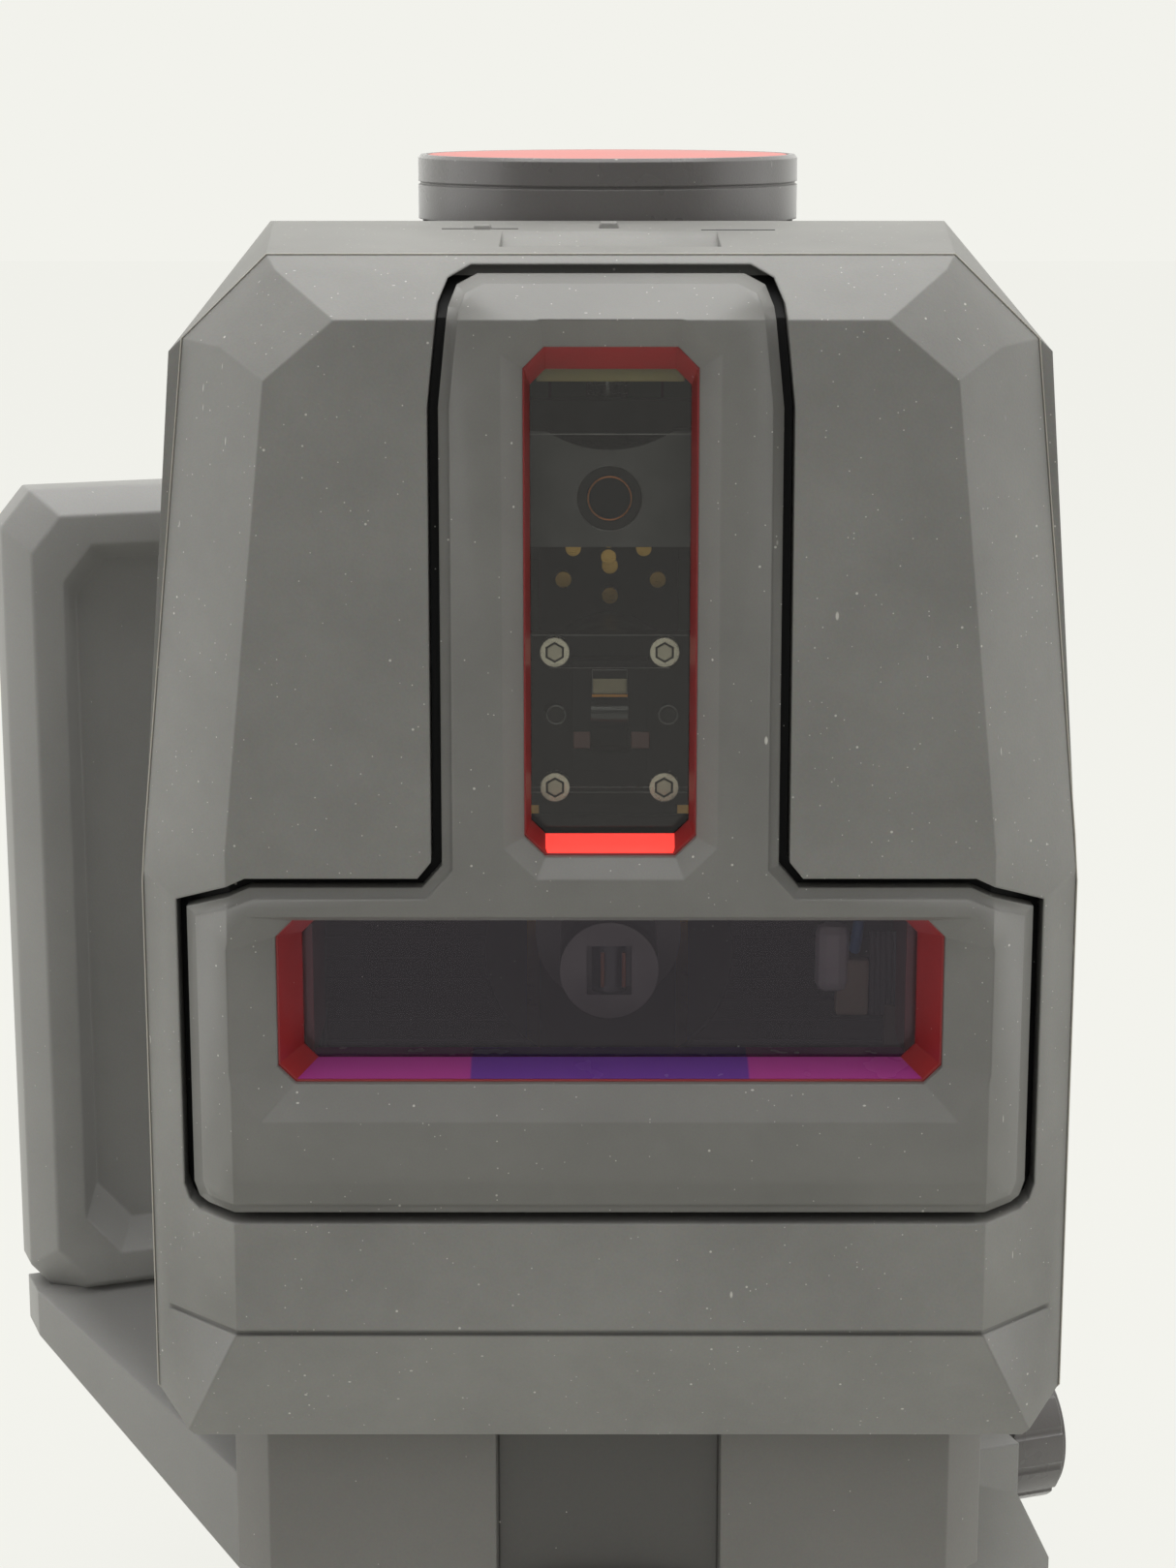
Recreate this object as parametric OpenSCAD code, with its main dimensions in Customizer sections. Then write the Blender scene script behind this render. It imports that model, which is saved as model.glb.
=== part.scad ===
// Multi-line laser level on a swivel wall bracket.
// The laser head faces -Y and turns about the Z axis on a geared base. The wall bracket is drawn
// turned by bracket_turn. The origin is the mouth of the tripod thread under the base.

/* [Head] */
// Width over the front rim
head_w = 125; // [122:1:130]
// Height of the head, without the knob
head_h = 160.7; // [158:0.1:164]
// Depth of the head, front to back
head_d = 118; // [116:1:124]
// Width of the flat front face
face_w = 100; // [97:1:102]
// How far the rim lies behind the front face
rim_d = 12; // [11:0.5:13]
// How far the top rises between the rim and the knob
crown_rise = 2.6; // [2:0.1:3]
// How much wider the rear housing is than the rim, on each side
flare_w = 2.5; // [1:0.5:4]
// Wall of the housings
wall = 3; // [2.5:0.1:3.5]
// Height of the leaning chin under the front face
chin_h = 18.2; // [16:0.2:20]
// How far the chin leans back
chin_d = 8; // [6:0.5:9]

/* [Windows] */
// Width of the vertical window
slit_w = 22.4; // [20:0.2:25]
// Height of the vertical window
slit_h = 66.2; // [62:0.2:68]
// Width of the horizontal window
band_w = 88; // [80:1:90]
// Height of the horizontal window
band_h = 22.5; // [20:0.5:24]
// Bezel between the two windows
window_gap = 8.5; // [8:0.5:10]
// Thickness of the bezel
bezel_t = 3.5; // [3:0.1:4]
// Width of the groove round the bezel
groove_w = 1.4; // [1.2:0.1:2]
// Width of the step round the bezel's edge
bezel_step = 1.4; // [1.2:0.1:1.8]
// Thickness of the window glass
glass_t = 2; // [1.5:0.1:2.2]

/* [Lock knob] */
// Diameter of the knob
knob_dia = 55.8; // [50:0.2:58]
// Height of the knob
knob_h = 9.2; // [8:0.2:11]
// How far the knob lies behind the swivel axis
knob_y = 18; // [16:0.5:19]
// Height of the detent ring under the knob
dial_h = 1.5; // [1:0.1:2]
// Travel of the lock pin in a quarter turn
lock_travel = 5; // [4.5:0.1:5.5]

/* [Pendulum] */
// Height of the gimbal axes above the floor of the head
pivot_h = 127.7; // [127:0.1:129]
// Gimbal axes in front of the swivel axis
pivot_fwd = 6; // [5:0.5:6.5]
// Free swing of each gimbal axis, in degrees each way
swing = 4; // [3:0.5:4.5]
// Radius of the gimbal pins
gimbal_pin_r = 2.9; // [2.5:0.1:3]
// Radius of the front nose of the horizontal-line module
nose_r = 6.8; // [6:0.1:7.2]
// Radius of the glass rods that spread the beams
rod_r = 2.4; // [2:0.1:2.8]
// Radius of the copper damper plate
damper_r = 13; // [10:0.5:13]
// Depth of the balance weight behind the stem
weight_d = 7.9; // [6:0.1:9]

/* [Base and bracket] */
// Height from the tripod thread to the floor of the lower housing
base_h = 47; // [46:0.5:48]
// Height of the lower housing
lower_h = 25.7; // [24:0.1:28]
// Depth of the lower housing's skirt below its floor
skirt_h = 2; // [1.5:0.1:2]
// Radius of the round base
base_r = 42.5; // [42:0.5:44]
// How far the wall bracket is turned from the laser, in degrees
bracket_turn = 20; // [0:1:30]
// Width of the wall tray
tray_w = 146; // [140:1:150]
// Height of the tray's top edge
tray_top = 189; // [185:1:195]
// Distance from the swivel axis to the wall
wall_dist = 98; // [97:1:102]
// Depth of the wall tray
tray_d = 12; // [11:0.5:13]

/* [Fine adjustment] */
// Teeth on the crown gear
crown_teeth = 66; // [66:1:68]
// Teeth on the pinion
pinion_teeth = 14; // [13:1:14]
// Gear module: pitch diameter over teeth
gear_mod = 1; // [0.98:0.01:1]
// Radius of the fine-adjustment knob
fine_r = 11.5; // [10:0.1:12]
// Length of the fine-adjustment knob
fine_l = 10; // [9:0.5:12]
// Radius of the drive shaft
shaft_r = 2.5; // [2.2:0.1:3]

/* [Fits] */
// Radial running clearance of a shaft in its bearing
run_gap = 0.05; // [0.02:0.01:0.09]
// Clearance of a piece that drops into its seat
seat_gap = 0.3; // [0.3:0.05:0.4]
// Radial clearance of a button in its hole
button_gap = 0.35; // [0.3:0.05:0.5]

/* [Hidden] */
$fn = 48;
EPS = 0.01;
HUGE = 400;

// Stack of heights above the tripod thread
floor_z = base_h + lower_h;          // floor of the head
top_z = floor_z + head_h;            // flat top of the head
front_y = -head_d / 2;
back_y = head_d / 2;
rim_y = front_y + rim_d;
rim_x = head_w / 2;
face_x = face_w / 2;
crest_y = back_y - 13;               // where the top turns down to the back
ridge_y = knob_y - knob_dia / 2 - 2; // highest line of the top, in front of the knob

// Front face: its corners, and the rim behind them
seam_z = floor_z + chin_h;
brow_z = top_z - 7.5;
brow_x = face_x - 15.3;
cheek_z = top_z - 15.1;
cheek_x = face_x - 6.3;
waist_z = top_z - 76.4;
rim_top_x = rim_x - 18.4;
ear_x = rim_x - 5.5;
ear_z = top_z - 12.4;
chin_x = rim_x - 5.5;
chin_cut = 5.8;                      // height of the corner cut at the foot of the rim

// Layers of the front, counted back from the outer face
ledge_back = bezel_t + 3;            // inner face of the front shell
groove_d = bezel_t + 2;              // floor of the groove round the bezel

// Windows
slit_top = top_z - 11;
slit_z = slit_top - slit_h;
band_top = slit_z - window_gap;
band_z = band_top - band_h;
slit_mid = (slit_top + slit_z) / 2;
band_mid = (band_top + band_z) / 2;

// Gimbal and pendulum
pivot_y = -pivot_fwd;
pivot_z = floor_z + pivot_h;
ring_h = 8;
ring_x = 16;                         // half-sizes of the gimbal ring
ring_y = 9.5;
ring_wall = 3.2;
pin_x = 2;                           // radius of the side pins
bar_t = 4;                           // thickness of the bearing bars
front_bar_y = front_y + 24;          // front of the front bearing bar
rear_bar_y = pivot_y + ring_y + 2;
bearing_r = gimbal_pin_r + 1.35;
module_y = front_y + 20;             // front of the vertical-line module
slit_module_z = slit_mid - 17.2;     // axis of the vertical-line module
band_module_z = band_mid - 0.4;      // axis of the horizontal-line module
damper_z = floor_z + 28.3;
stem_front = pivot_y - 6;
stem_d = 10;

// Lock
pin_lock_r = 3;
lock_plate_z = floor_z + 95.5;
lock_plate_t = 4;
// Lowered, the pin stops just over the tail plate's highest reach as the pendulum swings
lock_pin_foot = lock_plate_z + lock_plate_t + (knob_y - pivot_y) * sin(swing) + 0.8 + lock_travel;

// Battery
cell_y0 = 17; cell_y1 = 44;
cell_z0 = floor_z + 20; cell_z1 = cell_z0 + 60;
cell_x0 = -30;

// Base
shaft_z = base_h - 7;
pinion_r = pinion_teeth * gear_mod / 2;
crown_r = crown_teeth * gear_mod / 2;
crown_z = shaft_z + pinion_r;        // pitch plane of the crown gear
gear_face = 5;
crown_out = crown_r + gear_face / 2 + 0.5;
deck_z = base_h - 5;
washer_t = 1;
washer_r = 23.5;
table_r = 42;                        // turntable, screwed down on the floor of the lower housing
table_z = base_h + wall;
spindle_r = 9;
bush_t = 3;
insert_r = 6.75;                     // 5/8-11 thread, minor radius
insert_h = 14;
hub_z = insert_h + 8;                // foot of the hub that carries the bush
web_z = hub_z + 5;                   // floor of the gear channel
quarter_r = 2.6;                     // 1/4-20 thread, minor radius
quarter_y = 28;
box_x = 64;                          // outer end of the drive box
box_y = 15;
box_top = base_h - skirt_h - 0.4;
fine_x = box_x + 0.8;                // inner face of the fine knob
cover_t = 3;
foot_t = 2;
tray_front = wall_dist - tray_d;
tray_x = tray_w / 2;
tray_z = base_h;

// ---- Helpers ----

// A child and its mirror image in the plane x = 0
module both_sides() { children(); mirror([1, 0, 0]) children(); }

// Pieces of the bracket, turned about the swivel axis
module turned() { rotate([0, 0, bracket_turn]) children(); }

// An outline of [x, z] points, extruded from y0 to y1
module prism_y(points, y0, y1) {
    translate([0, y1, 0]) rotate([90, 0, 0]) linear_extrude(y1 - y0) polygon(points);
}

// An outline of [y, z] points, extruded from x0 to x1
module prism_x(points, x0, x1) {
    translate([x0, 0, 0]) rotate([90, 0, 90]) linear_extrude(x1 - x0) polygon(points);
}

// Cylinders along X and Y
module rod_x(r, x0, x1) { translate([x0, 0, 0]) rotate([0, 90, 0]) cylinder(r = r, h = x1 - x0); }
module rod_y(r, y0, y1) { translate([0, y1, 0]) rotate([90, 0, 0]) cylinder(r = r, h = y1 - y0); }

// A block between two corners
module block(low, high) { translate(low) cube(high - low); }

// A ring or tube about Z
module tube(r_in, r_out, z0, z1) {
    translate([0, 0, z0]) difference() {
        cylinder(r = r_out, h = z1 - z0);
        translate([0, 0, -1]) cylinder(r = r_in, h = z1 - z0 + 2);
    }
}

// The space beyond the plane through a, b and c, which run counter-clockwise seen from outside
module beyond(a, b, c) {
    n = cross(b - a, c - a);
    translate(a) rotate([0, acos(n.z / norm(n)), atan2(n.y, n.x)])
        translate([-HUGE / 2, -HUGE / 2, 0]) cube(HUGE);
}

// A half outline, closed by its mirror image
function whole(half) = concat(half, [for (i = [len(half) - 1:-1:0]) [-half[i].x, half[i].y]]);

// A half outline moved inwards by w, and the end points of its middle line only along it
function ring(half, w) = whole([for (p = half) [p.x - (p.x > 0 ? w : 0), p.y + (p.y < 0 ? w : -w)]]);

// A half outline moved inwards by w about the height mid
function inset(half, w, mid) = [for (p = half) [p.x - w, p.y + (p.y > mid ? -w : w)]];

// ---- Shapes that several pieces share ----

// Half outlines of the head at the rim, at its fullest and at the back
rim_half = [[0, top_z], [rim_top_x, top_z], [ear_x, ear_z], [rim_x - 0.5, waist_z],
            [rim_x, band_z], [rim_x, floor_z + chin_cut], [chin_x, floor_z], [0, floor_z]];
full_half = [[0, top_z], [rim_top_x + 6 + flare_w, top_z], [ear_x + 4.8 + flare_w, ear_z - 4],
             [rim_x + flare_w, waist_z], [rim_x + flare_w, band_z], [rim_x + flare_w, floor_z + chin_cut],
             [chin_x + 1.5, floor_z], [0, floor_z]];
back_half = [[0, top_z - 18], [rim_top_x - 2, top_z - 18], [face_x + 2, ear_z - 16],
             [face_x + 3, waist_z], [face_x + 3, band_z], [face_x + 3, seam_z],
             [face_x - 2, floor_z + 8], [0, floor_z + 8]];

// The faceted front of the head, solid back to y_end
module front_form(y_end = rim_y) {
    difference() {
        prism_x([[front_y, seam_z], [front_y, brow_z], [rim_y, top_z], [y_end, top_z],
                 [y_end, floor_z], [front_y + chin_d, floor_z]], -rim_x, rim_x);
        both_sides() {
            // Cheek: the 45 degree facet beside the flat face, below and above the waist
            beyond([face_x, front_y, seam_z], [rim_x, rim_y, seam_z], [face_x, front_y, waist_z]);
            beyond([face_x, front_y, waist_z], [rim_x - 0.5, rim_y, waist_z], [cheek_x, front_y, cheek_z]);
            // Corner facet between the brow and the cheek
            beyond([brow_x, front_y, brow_z], [cheek_x, front_y, cheek_z],
                   [brow_x + 5.8, front_y + 6.5, brow_z + 4]);
            // Edge of the rim round the corner facet
            beyond([rim_top_x, rim_y, top_z], [ear_x - 3.8, rim_y - 3.4, ear_z], [ear_x, rim_y, ear_z]);
            // Side above the waist, leaning in
            beyond([rim_x - 0.5, rim_y, waist_z], [rim_x - 0.5, rim_y + 5, waist_z], [ear_x, rim_y, ear_z]);
            // Corner at the foot of the rim
            beyond([chin_x, rim_y, floor_z], [rim_x, rim_y, floor_z + chin_cut], [chin_x, front_y, floor_z]);
        }
    }
}

// The front form moved back by a layer's depth
module layer(depth) { translate([0, depth, 0]) front_form(back_y); }

// Outline of the inverted T of the bezel, grown by g
function t_outline(g) = whole([
    [0, top_z - 2.3 + 0.76 * g], [17 + g * 0.6, top_z - 2.3 + 0.76 * g], [19.6 + g * 0.8, top_z - 3.6 + g * 0.6],
    [20.5 + g, top_z - 6 + g * 0.2], [21.8 + g, top_z - 18.5], [21.9 + g, slit_z - 0.7 + g * 0.4],
    [24.5 + g * 0.4, slit_z - 3.7 + g], [face_x - 3 + g * 0.4, slit_z - 3.7 + g],
    [rim_x - 6.5 + g, slit_z - 7.7 + g * 0.6], [rim_x - 6.5 + g, band_z - 15 - g * 0.5],
    [rim_x - 7.3 + g, band_z - 16.8 - g * 0.6], [rim_x - 8.6 + g * 0.9, band_z - 17.3 - g * 0.9],
    [face_x - 1, band_z - 17.4 - g], [0, band_z - 17.4 - g]]);

module t_prism(g) { prism_y(t_outline(g), front_y - 1, rim_y + 12); }

// Outlines of the two openings, w by h with cut corners
function cut_corners(x, z0, z1, c) = whole([[0, z1], [x - c, z1], [x, z1 - c], [x, z0 + c], [x - c, z0], [0, z0]]);
function slit_outline(g) = cut_corners(slit_w / 2 + g, slit_z - g, slit_top + g, 2.7);
function band_outline(g) = cut_corners(band_w / 2 + g, band_z - g, band_top + g, 2.3);

// ---- Head: shells ----

module front_shell() color("#68676a") {
    difference() {
        front_form();
        // Inside, behind the ledge that carries the bezel
        intersection() {
            layer(ledge_back);
            prism_y(whole(inset(rim_half, wall, waist_z)), front_y, rim_y + 1);
        }
        // Seat of the bezel, and the groove round it
        difference() { t_prism(groove_w); layer(bezel_t); }
        difference() {
            difference() { t_prism(groove_w); layer(groove_d); }
            t_prism(-0.8);
        }
        // Windows through the ledge
        prism_y(slit_outline(3.6), front_y - 1, rim_y + 1);
        prism_y(band_outline(3.6), front_y - 1, rim_y + 1);
        // Step line above the chin
        difference() {
            block([-rim_x - 1, front_y - 1, seam_z - 0.4], [rim_x + 1, rim_y - 2, seam_z + 0.4]);
            layer(0.6);
        }
    }
}

// Bevel that runs down to an opening: an outline at the face, and one deeper in
module bevel(outer, inner, depth) hull() {
    prism_y(outer, front_y - 0.5, front_y - 0.4);
    prism_y(inner, front_y + depth, front_y + depth + 0.1);
}

module window_bezel() color("#59585a") {
    slit_bevel = whole([[0, slit_top + 4.4], [9, slit_top + 4.4], [slit_w / 2 + 3.2, slit_top - 0.4],
                        [slit_w / 2 + 3.2, slit_z + 1.6], [9.8, slit_z - 2.9], [0, slit_z - 2.9]]);
    band_bevel = whole([[0, band_top + 1.2], [band_w / 2 + 4, band_top + 1.2],
                        [band_w / 2 + 8, band_top - 4], [band_w / 2 + 8, band_z + 2],
                        [band_w / 2 + 3, band_z - 5.4], [0, band_z - 5.4]]);
    difference() {
        intersection() { front_form(back_y); t_prism(0); }
        layer(bezel_t);
        // Step round the edge
        difference() { t_prism(1); t_prism(-bezel_step); layer(0.8); }
        bevel(slit_bevel, slit_outline(0), 2.2);
        bevel(band_bevel, band_outline(0), 2.2);
        prism_y(slit_outline(0), front_y - 1, rim_y);
        prism_y(band_outline(0), front_y - 1, rim_y);
    }
}

module bezel_gasket() color("#0c0c0d") difference() {
    // A rubber seal in the groove's floor, round the bezel
    intersection() { front_form(); layer(groove_d - 1.2); t_prism(groove_w - 0.1); }
    layer(groove_d);
    t_prism(-0.7);
}

module optics_hood() color("#7a2226") {
    lip = 2.6;                        // wall of the hood round each opening
    hood_y = front_y + ledge_back;
    glass_y = front_y + 9;
    difference() {
        union() {
            prism_y(slit_outline(lip), front_y + bezel_t, rim_y);
            prism_y(band_outline(lip), front_y + bezel_t, rim_y);
            // Flange behind the front shell's ledge
            intersection() {
                layer(ledge_back);
                union() {
                    prism_y(slit_outline(7), hood_y, hood_y + 2);
                    prism_y(band_outline(5), hood_y, hood_y + 2);
                }
            }
            // Sill behind the horizontal glass
            block([2 - band_w / 2, rim_y - 1, band_z - 2.6], [band_w / 2 - 2, rim_y + 3.5, band_z + 1]);
            // Side walls of the horizontal window
            both_sides() prism_y([[band_w / 2 - 4, band_z], [band_w / 2 + 2.6, band_z],
                                  [band_w / 2 + 2.6, band_top], [band_w / 2 - 4, band_top]],
                                 rim_y - 1, rim_y + 20);
        }
        // Funnels that narrow from the bezel to the glass
        hull() {
            prism_y(slit_outline(-0.2), front_y + bezel_t - 1, front_y + bezel_t);
            prism_y(cut_corners(slit_w / 2 - 0.8, slit_z + 1.5, slit_top - 3.4, 2), glass_y, glass_y + EPS);
        }
        hull() {
            prism_y(band_outline(-0.2), front_y + bezel_t - 1, front_y + bezel_t);
            prism_y(cut_corners(band_w / 2 - 3, band_z + 1.6, band_top - 1.4, 2), glass_y, glass_y + EPS);
        }
        prism_y(cut_corners(slit_w / 2 - 0.8, slit_z + 1.5, slit_top - 3.4, 2), glass_y - 1, rim_y + 1);
        prism_y(cut_corners(band_w / 2 - 3, band_z + 1.6, band_top - 1.4, 2), glass_y - 1, rim_y + 1);
        // Glass seats, open behind
        prism_y(slit_outline(0.6), glass_y, rim_y + 1);
        prism_y(band_outline(0.6), glass_y, rim_y + 1);
    }
}

module vertical_glass() color("#b9c48f", 0.4)
    prism_y(slit_outline(0.5), front_y + 9, front_y + 9 + glass_t);

module horizontal_glass() color("#8f6aa8", 0.4)
    prism_y(band_outline(0.5), front_y + 9, front_y + 9 + glass_t);

module light_baffle() color("#1a1a1c") {
    y0 = rim_y + 16;
    x1 = band_w / 2 - 4.5;
    difference() {
        union() {
            block([-x1, y0, band_z - 8], [x1, y0 + 1.5, band_top + 8]);
            for (z = [band_z - 6 : 3 : band_top + 6]) block([-x1, y0 - 0.8, z], [x1, y0 + 0.5, z + 1.2]);
        }
        translate([0, 0, band_module_z]) rod_y(nose_r + 10.5, y0 - 3, y0 + 3);
    }
}

module rear_outline(inside) {
    w = inside ? wall : 0;
    hull() {
        prism_y(whole(inset(rim_half, w, waist_z)), rim_y - (inside ? 1 : 0), rim_y + EPS);
        if (!inside) prism_y([[-rim_top_x - 2.4, top_z + crown_rise], [0, floor_z + 40],
                              [rim_top_x + 2.4, top_z + crown_rise]], ridge_y - 0.3, ridge_y + 0.3);
        prism_y(whole(inset(full_half, w, waist_z)), crest_y - 1, crest_y);
        prism_y(whole(inset(back_half, w, waist_z)), back_y - w - EPS, back_y - w);
    }
}

button_xs = [-18, 0, 18];
button_r = 6;
button_z = top_z - 38;
post_spots = [[-38, button_z - 34], [38, button_z - 34], [-38, button_z + 10], [38, button_z + 10]];

module rear_housing() color("#5c5b5d") {
    difference() {
        rear_outline(false);
        rear_outline(true);
        // Bore for the lock knob's shaft
        translate([0, knob_y, top_z - 10]) cylinder(r = 7 + run_gap, h = 20);
        // Seat of the knob
        translate([0, knob_y, top_z]) cylinder(r = knob_dia / 2 + 0.8, h = 20, $fn = 96);
        // Finger scoop in front of the knob
        translate([0, rim_y + 14, top_z + 19.4]) rod_x(20, -14.5, 14.5);
        // Buttons
        for (x = button_xs) translate([x, 0, button_z]) rod_y(button_r + button_gap, back_y - 9, back_y + 1);
        // Mouth of the battery bay, in the right side
        block([rim_x - 6, cell_y0 - seat_gap, cell_z0 - seat_gap],
              [rim_x + 9, cell_y1 + seat_gap, cell_z1 + seat_gap]);
        // Way through the floor for the wires to the lower housing
        translate([0, 0, floor_z - 1]) cylinder(r = 8, h = wall + 2);
    }
    // Battery bay: four walls and a closed end
    difference() {
        block([cell_x0 - 3, cell_y0 - 2, cell_z0 - 2], [rim_x - 0.5, cell_y1 + 2, cell_z1 + 2]);
        block([cell_x0 - 1, cell_y0 - seat_gap, cell_z0 - seat_gap],
              [rim_x + 5, cell_y1 + seat_gap, cell_z1 + seat_gap]);
    }
    // Posts for the circuit board
    for (p = post_spots) translate([p.x, 0, p.y]) rod_y(3, back_y - 7.4, back_y - 2);
    // Posts that carry the gimbal chassis
    both_sides() for (y = [pivot_y - 2, pivot_y + 12])
        translate([42, y, floor_z + 1]) cylinder(r = 4, h = 18.3);
}

module index_ring() color("#9a9892") {
    translate([0, knob_y, 0]) tube(7 + run_gap + 3, knob_dia / 2 - 0.6, top_z, top_z + dial_h);
}

module lower_housing() color("#605d5c") {
    low_half = [[0, -39], [48.4, -39], [53.6, -33.8], [53.6, 36], [46, 44], [0, 44]];
    difference() {
        translate([0, 0, base_h - skirt_h]) linear_extrude(lower_h + skirt_h) polygon(ring(low_half, 0));
        translate([0, 0, base_h + wall]) linear_extrude(lower_h) polygon(ring(low_half, wall));
        translate([0, 0, base_h - skirt_h - 1]) linear_extrude(skirt_h + 1) polygon(ring(low_half, wall));
        // Recess in the middle of the front
        block([-16, -40, base_h - skirt_h - 1], [16, -37.4, floor_z + 1]);
        // Chamfer under the front edge
        translate([0, -39, base_h - skirt_h]) rotate([45, 0, 0]) cube([HUGE, 2, 2], center = true);
        // Hole for the crown gear
        translate([0, 0, base_h - 1]) cylinder(r = crown_out + seat_gap, h = wall + 2);
    }
    // Lid that carries the head
    difference() {
        translate([0, 0, floor_z - wall]) linear_extrude(wall) polygon(ring(low_half, wall));
        translate([0, 0, floor_z - wall - 1]) cylinder(r = 8, h = wall + 2);
    }
}

// ---- Head: swivel ----

module turntable() color("#77787a") difference() {
    union() {
        intersection() {
            tube(spindle_r, table_r, table_z, table_z + wall);
            block([-table_r, -35.7, table_z], [table_r, 35.7, table_z + wall]);
        }
        tube(13, washer_r, deck_z + washer_t, table_z + EPS);
        tube(spindle_r, 14, table_z, table_z + 9);
    }
    for (a = [45:90:315]) rotate([0, 0, a]) translate([table_r - 2.8, 0, table_z - 1]) cylinder(r = 1.6, h = wall + 2);
}

module crown_gear() color("#c8a24a") {
    top = table_z;
    root = crown_z + 1.25 * gear_mod;
    tip = crown_z - gear_mod;
    half_pitch = PI * gear_mod / 4;
    slope = tan(20);
    tube(crown_out - gear_face - 1, crown_out, root, top);
    intersection() {
        tube(crown_r - gear_face / 2, crown_r + gear_face / 2, tip, root + 0.2);
        for (i = [0:crown_teeth - 1]) rotate([0, 0, bracket_turn + i * 360 / crown_teeth])
            prism_x([[-(half_pitch - 0.17 - slope * gear_mod), tip], [half_pitch - 0.17 - slope * gear_mod, tip],
                     [half_pitch - 0.17 + slope * 1.25 * gear_mod, root + 0.1],
                     [-(half_pitch - 0.17 + slope * 1.25 * gear_mod), root + 0.1]],
                    crown_r - gear_face, crown_r + gear_face);
    }
}

module swivel_spindle() color("#b9bbbd") {
    translate([0, 0, hub_z - 4.5]) difference() {
        cylinder(r = spindle_r, h = table_z + 9 - hub_z + 4.5);
        translate([0, 0, -1]) cylinder(r = 4, h = HUGE);
        tube(spindle_r - 1, spindle_r + 1, 2, 4.2);
    }
}

module spindle_clip() color("#8d8f92") {
    z = hub_z - 2.4;
    difference() {
        tube(spindle_r - 0.95, spindle_r + 3, z, z + 2);
        block([-3, 0, z - 1], [3, 20, z + 3]);
    }
}

// ---- Head: gimbal and electronics ----

module gimbal_chassis() color("#3a3a3d") {
    x0 = 38; x1 = 46;
    foot = floor_z + 19.3;
    top = pivot_z + 9;
    low_bar = pivot_z - 6.6;
    difference() {
        union() {
            // Two side plates
            both_sides() block([x0, pivot_y - 6, foot], [x0 + 4, rear_bar_y + bar_t, top]);
            both_sides() block([x0, pivot_y - 6, foot], [x1, rear_bar_y + bar_t, foot + 3]);
            // Floor that carries the damper magnets
            block([-x0 - 1, pivot_y - 14, foot], [x0 + 1, pivot_y + 10, foot + 3]);
            // Bearing bars, and the arms that hold the front one
            block([-x0 - 4, front_bar_y, low_bar], [x0 + 4, front_bar_y + bar_t, top]);
            block([-x0 - 4, rear_bar_y, low_bar], [x0 + 4, rear_bar_y + bar_t, top]);
            both_sides() block([x0, front_bar_y, low_bar], [x0 + 4, pivot_y, top]);
        }
        translate([0, 0, pivot_z]) rod_y(bearing_r, front_bar_y - 1, rear_bar_y + bar_t + 1);
        // Round dip in the top edge over the bearing
        translate([0, 0, top + 13]) rod_y(15.5, front_bar_y - 1, front_bar_y + bar_t + 1);
        both_sides() for (y = [pivot_y - 2, pivot_y + 12]) translate([42, y, foot - 1]) cylinder(r = 1.25, h = 5);
    }
}

module gimbal_bearings() color("#b06a3c") {
    for (y = [front_bar_y, rear_bar_y]) translate([0, 0, pivot_z]) difference() {
        rod_y(bearing_r, y, y + bar_t);
        rod_y(gimbal_pin_r + run_gap, y - 1, y + bar_t + 1);
    }
}

module damper_magnets() color("#c3c6c9") {
    for (x = [-8, 8]) translate([x, pivot_y, floor_z + 22.3]) cylinder(r = 6.5, h = 3);
}

module circuit_board() color("#1f5a3a") {
    y1 = back_y - 7.4;
    difference() {
        block([-44, y1 - 1.6, button_z - 40], [44, y1, button_z + 16]);
        for (p = post_spots) translate([p.x, 0, p.y]) rod_y(1.1, y1 - 3, y1 + 1);
    }
    // Switches under the buttons, and the larger parts
    for (x = button_xs) translate([x, 0, button_z]) rod_y(2.5, y1 - 0.2, y1 + 0.9);
    block([-30, y1 - 4.4, button_z - 34], [-14, y1 - 1.6, button_z - 18]);
    block([10, y1 - 5.6, button_z - 36], [26, y1 - 1.6, button_z - 28]);
}

module flex_connector() color("#cfc6b4") {
    // Plug and socket of the module leads, on the chassis side plate
    y = rim_y + 18;
    block([28, y + 1.8, band_mid - 9], [36, y + 7, band_mid + 7]);
    block([36, y + 5, band_mid - 5], [38, stem_front + 3, band_mid + 3]);
    block([30, y, band_mid - 3], [34, y + 1.8, band_mid + 3]);
}

module battery_contacts() color("#c9a24c") {
    for (y = [cell_y0 + 8, cell_y1 - 8]) translate([0, y, (cell_z0 + cell_z1) / 2])
        rod_x(2, cell_x0 - 1, cell_x0 - seat_gap);
}

module housing_screws() color("#a8aaac") {
    // Turntable screws, driven up into the lower housing
    for (a = [45:90:315]) rotate([0, 0, a]) translate([table_r - 2.8, 0, table_z + wall]) cylinder(r = 2.7, h = 2);
    for (a = [45:90:315]) rotate([0, 0, a]) translate([table_r - 2.8, 0, table_z + 0.2]) cylinder(r = 1.55, h = wall);
    // Board screws
    for (p = post_spots) translate([p.x, 0, p.y]) {
        rod_y(2, back_y - 10.2, back_y - 9);
        rod_y(1.05, back_y - 9, back_y - 7.5);
    }
}

// ---- Lock ----

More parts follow.
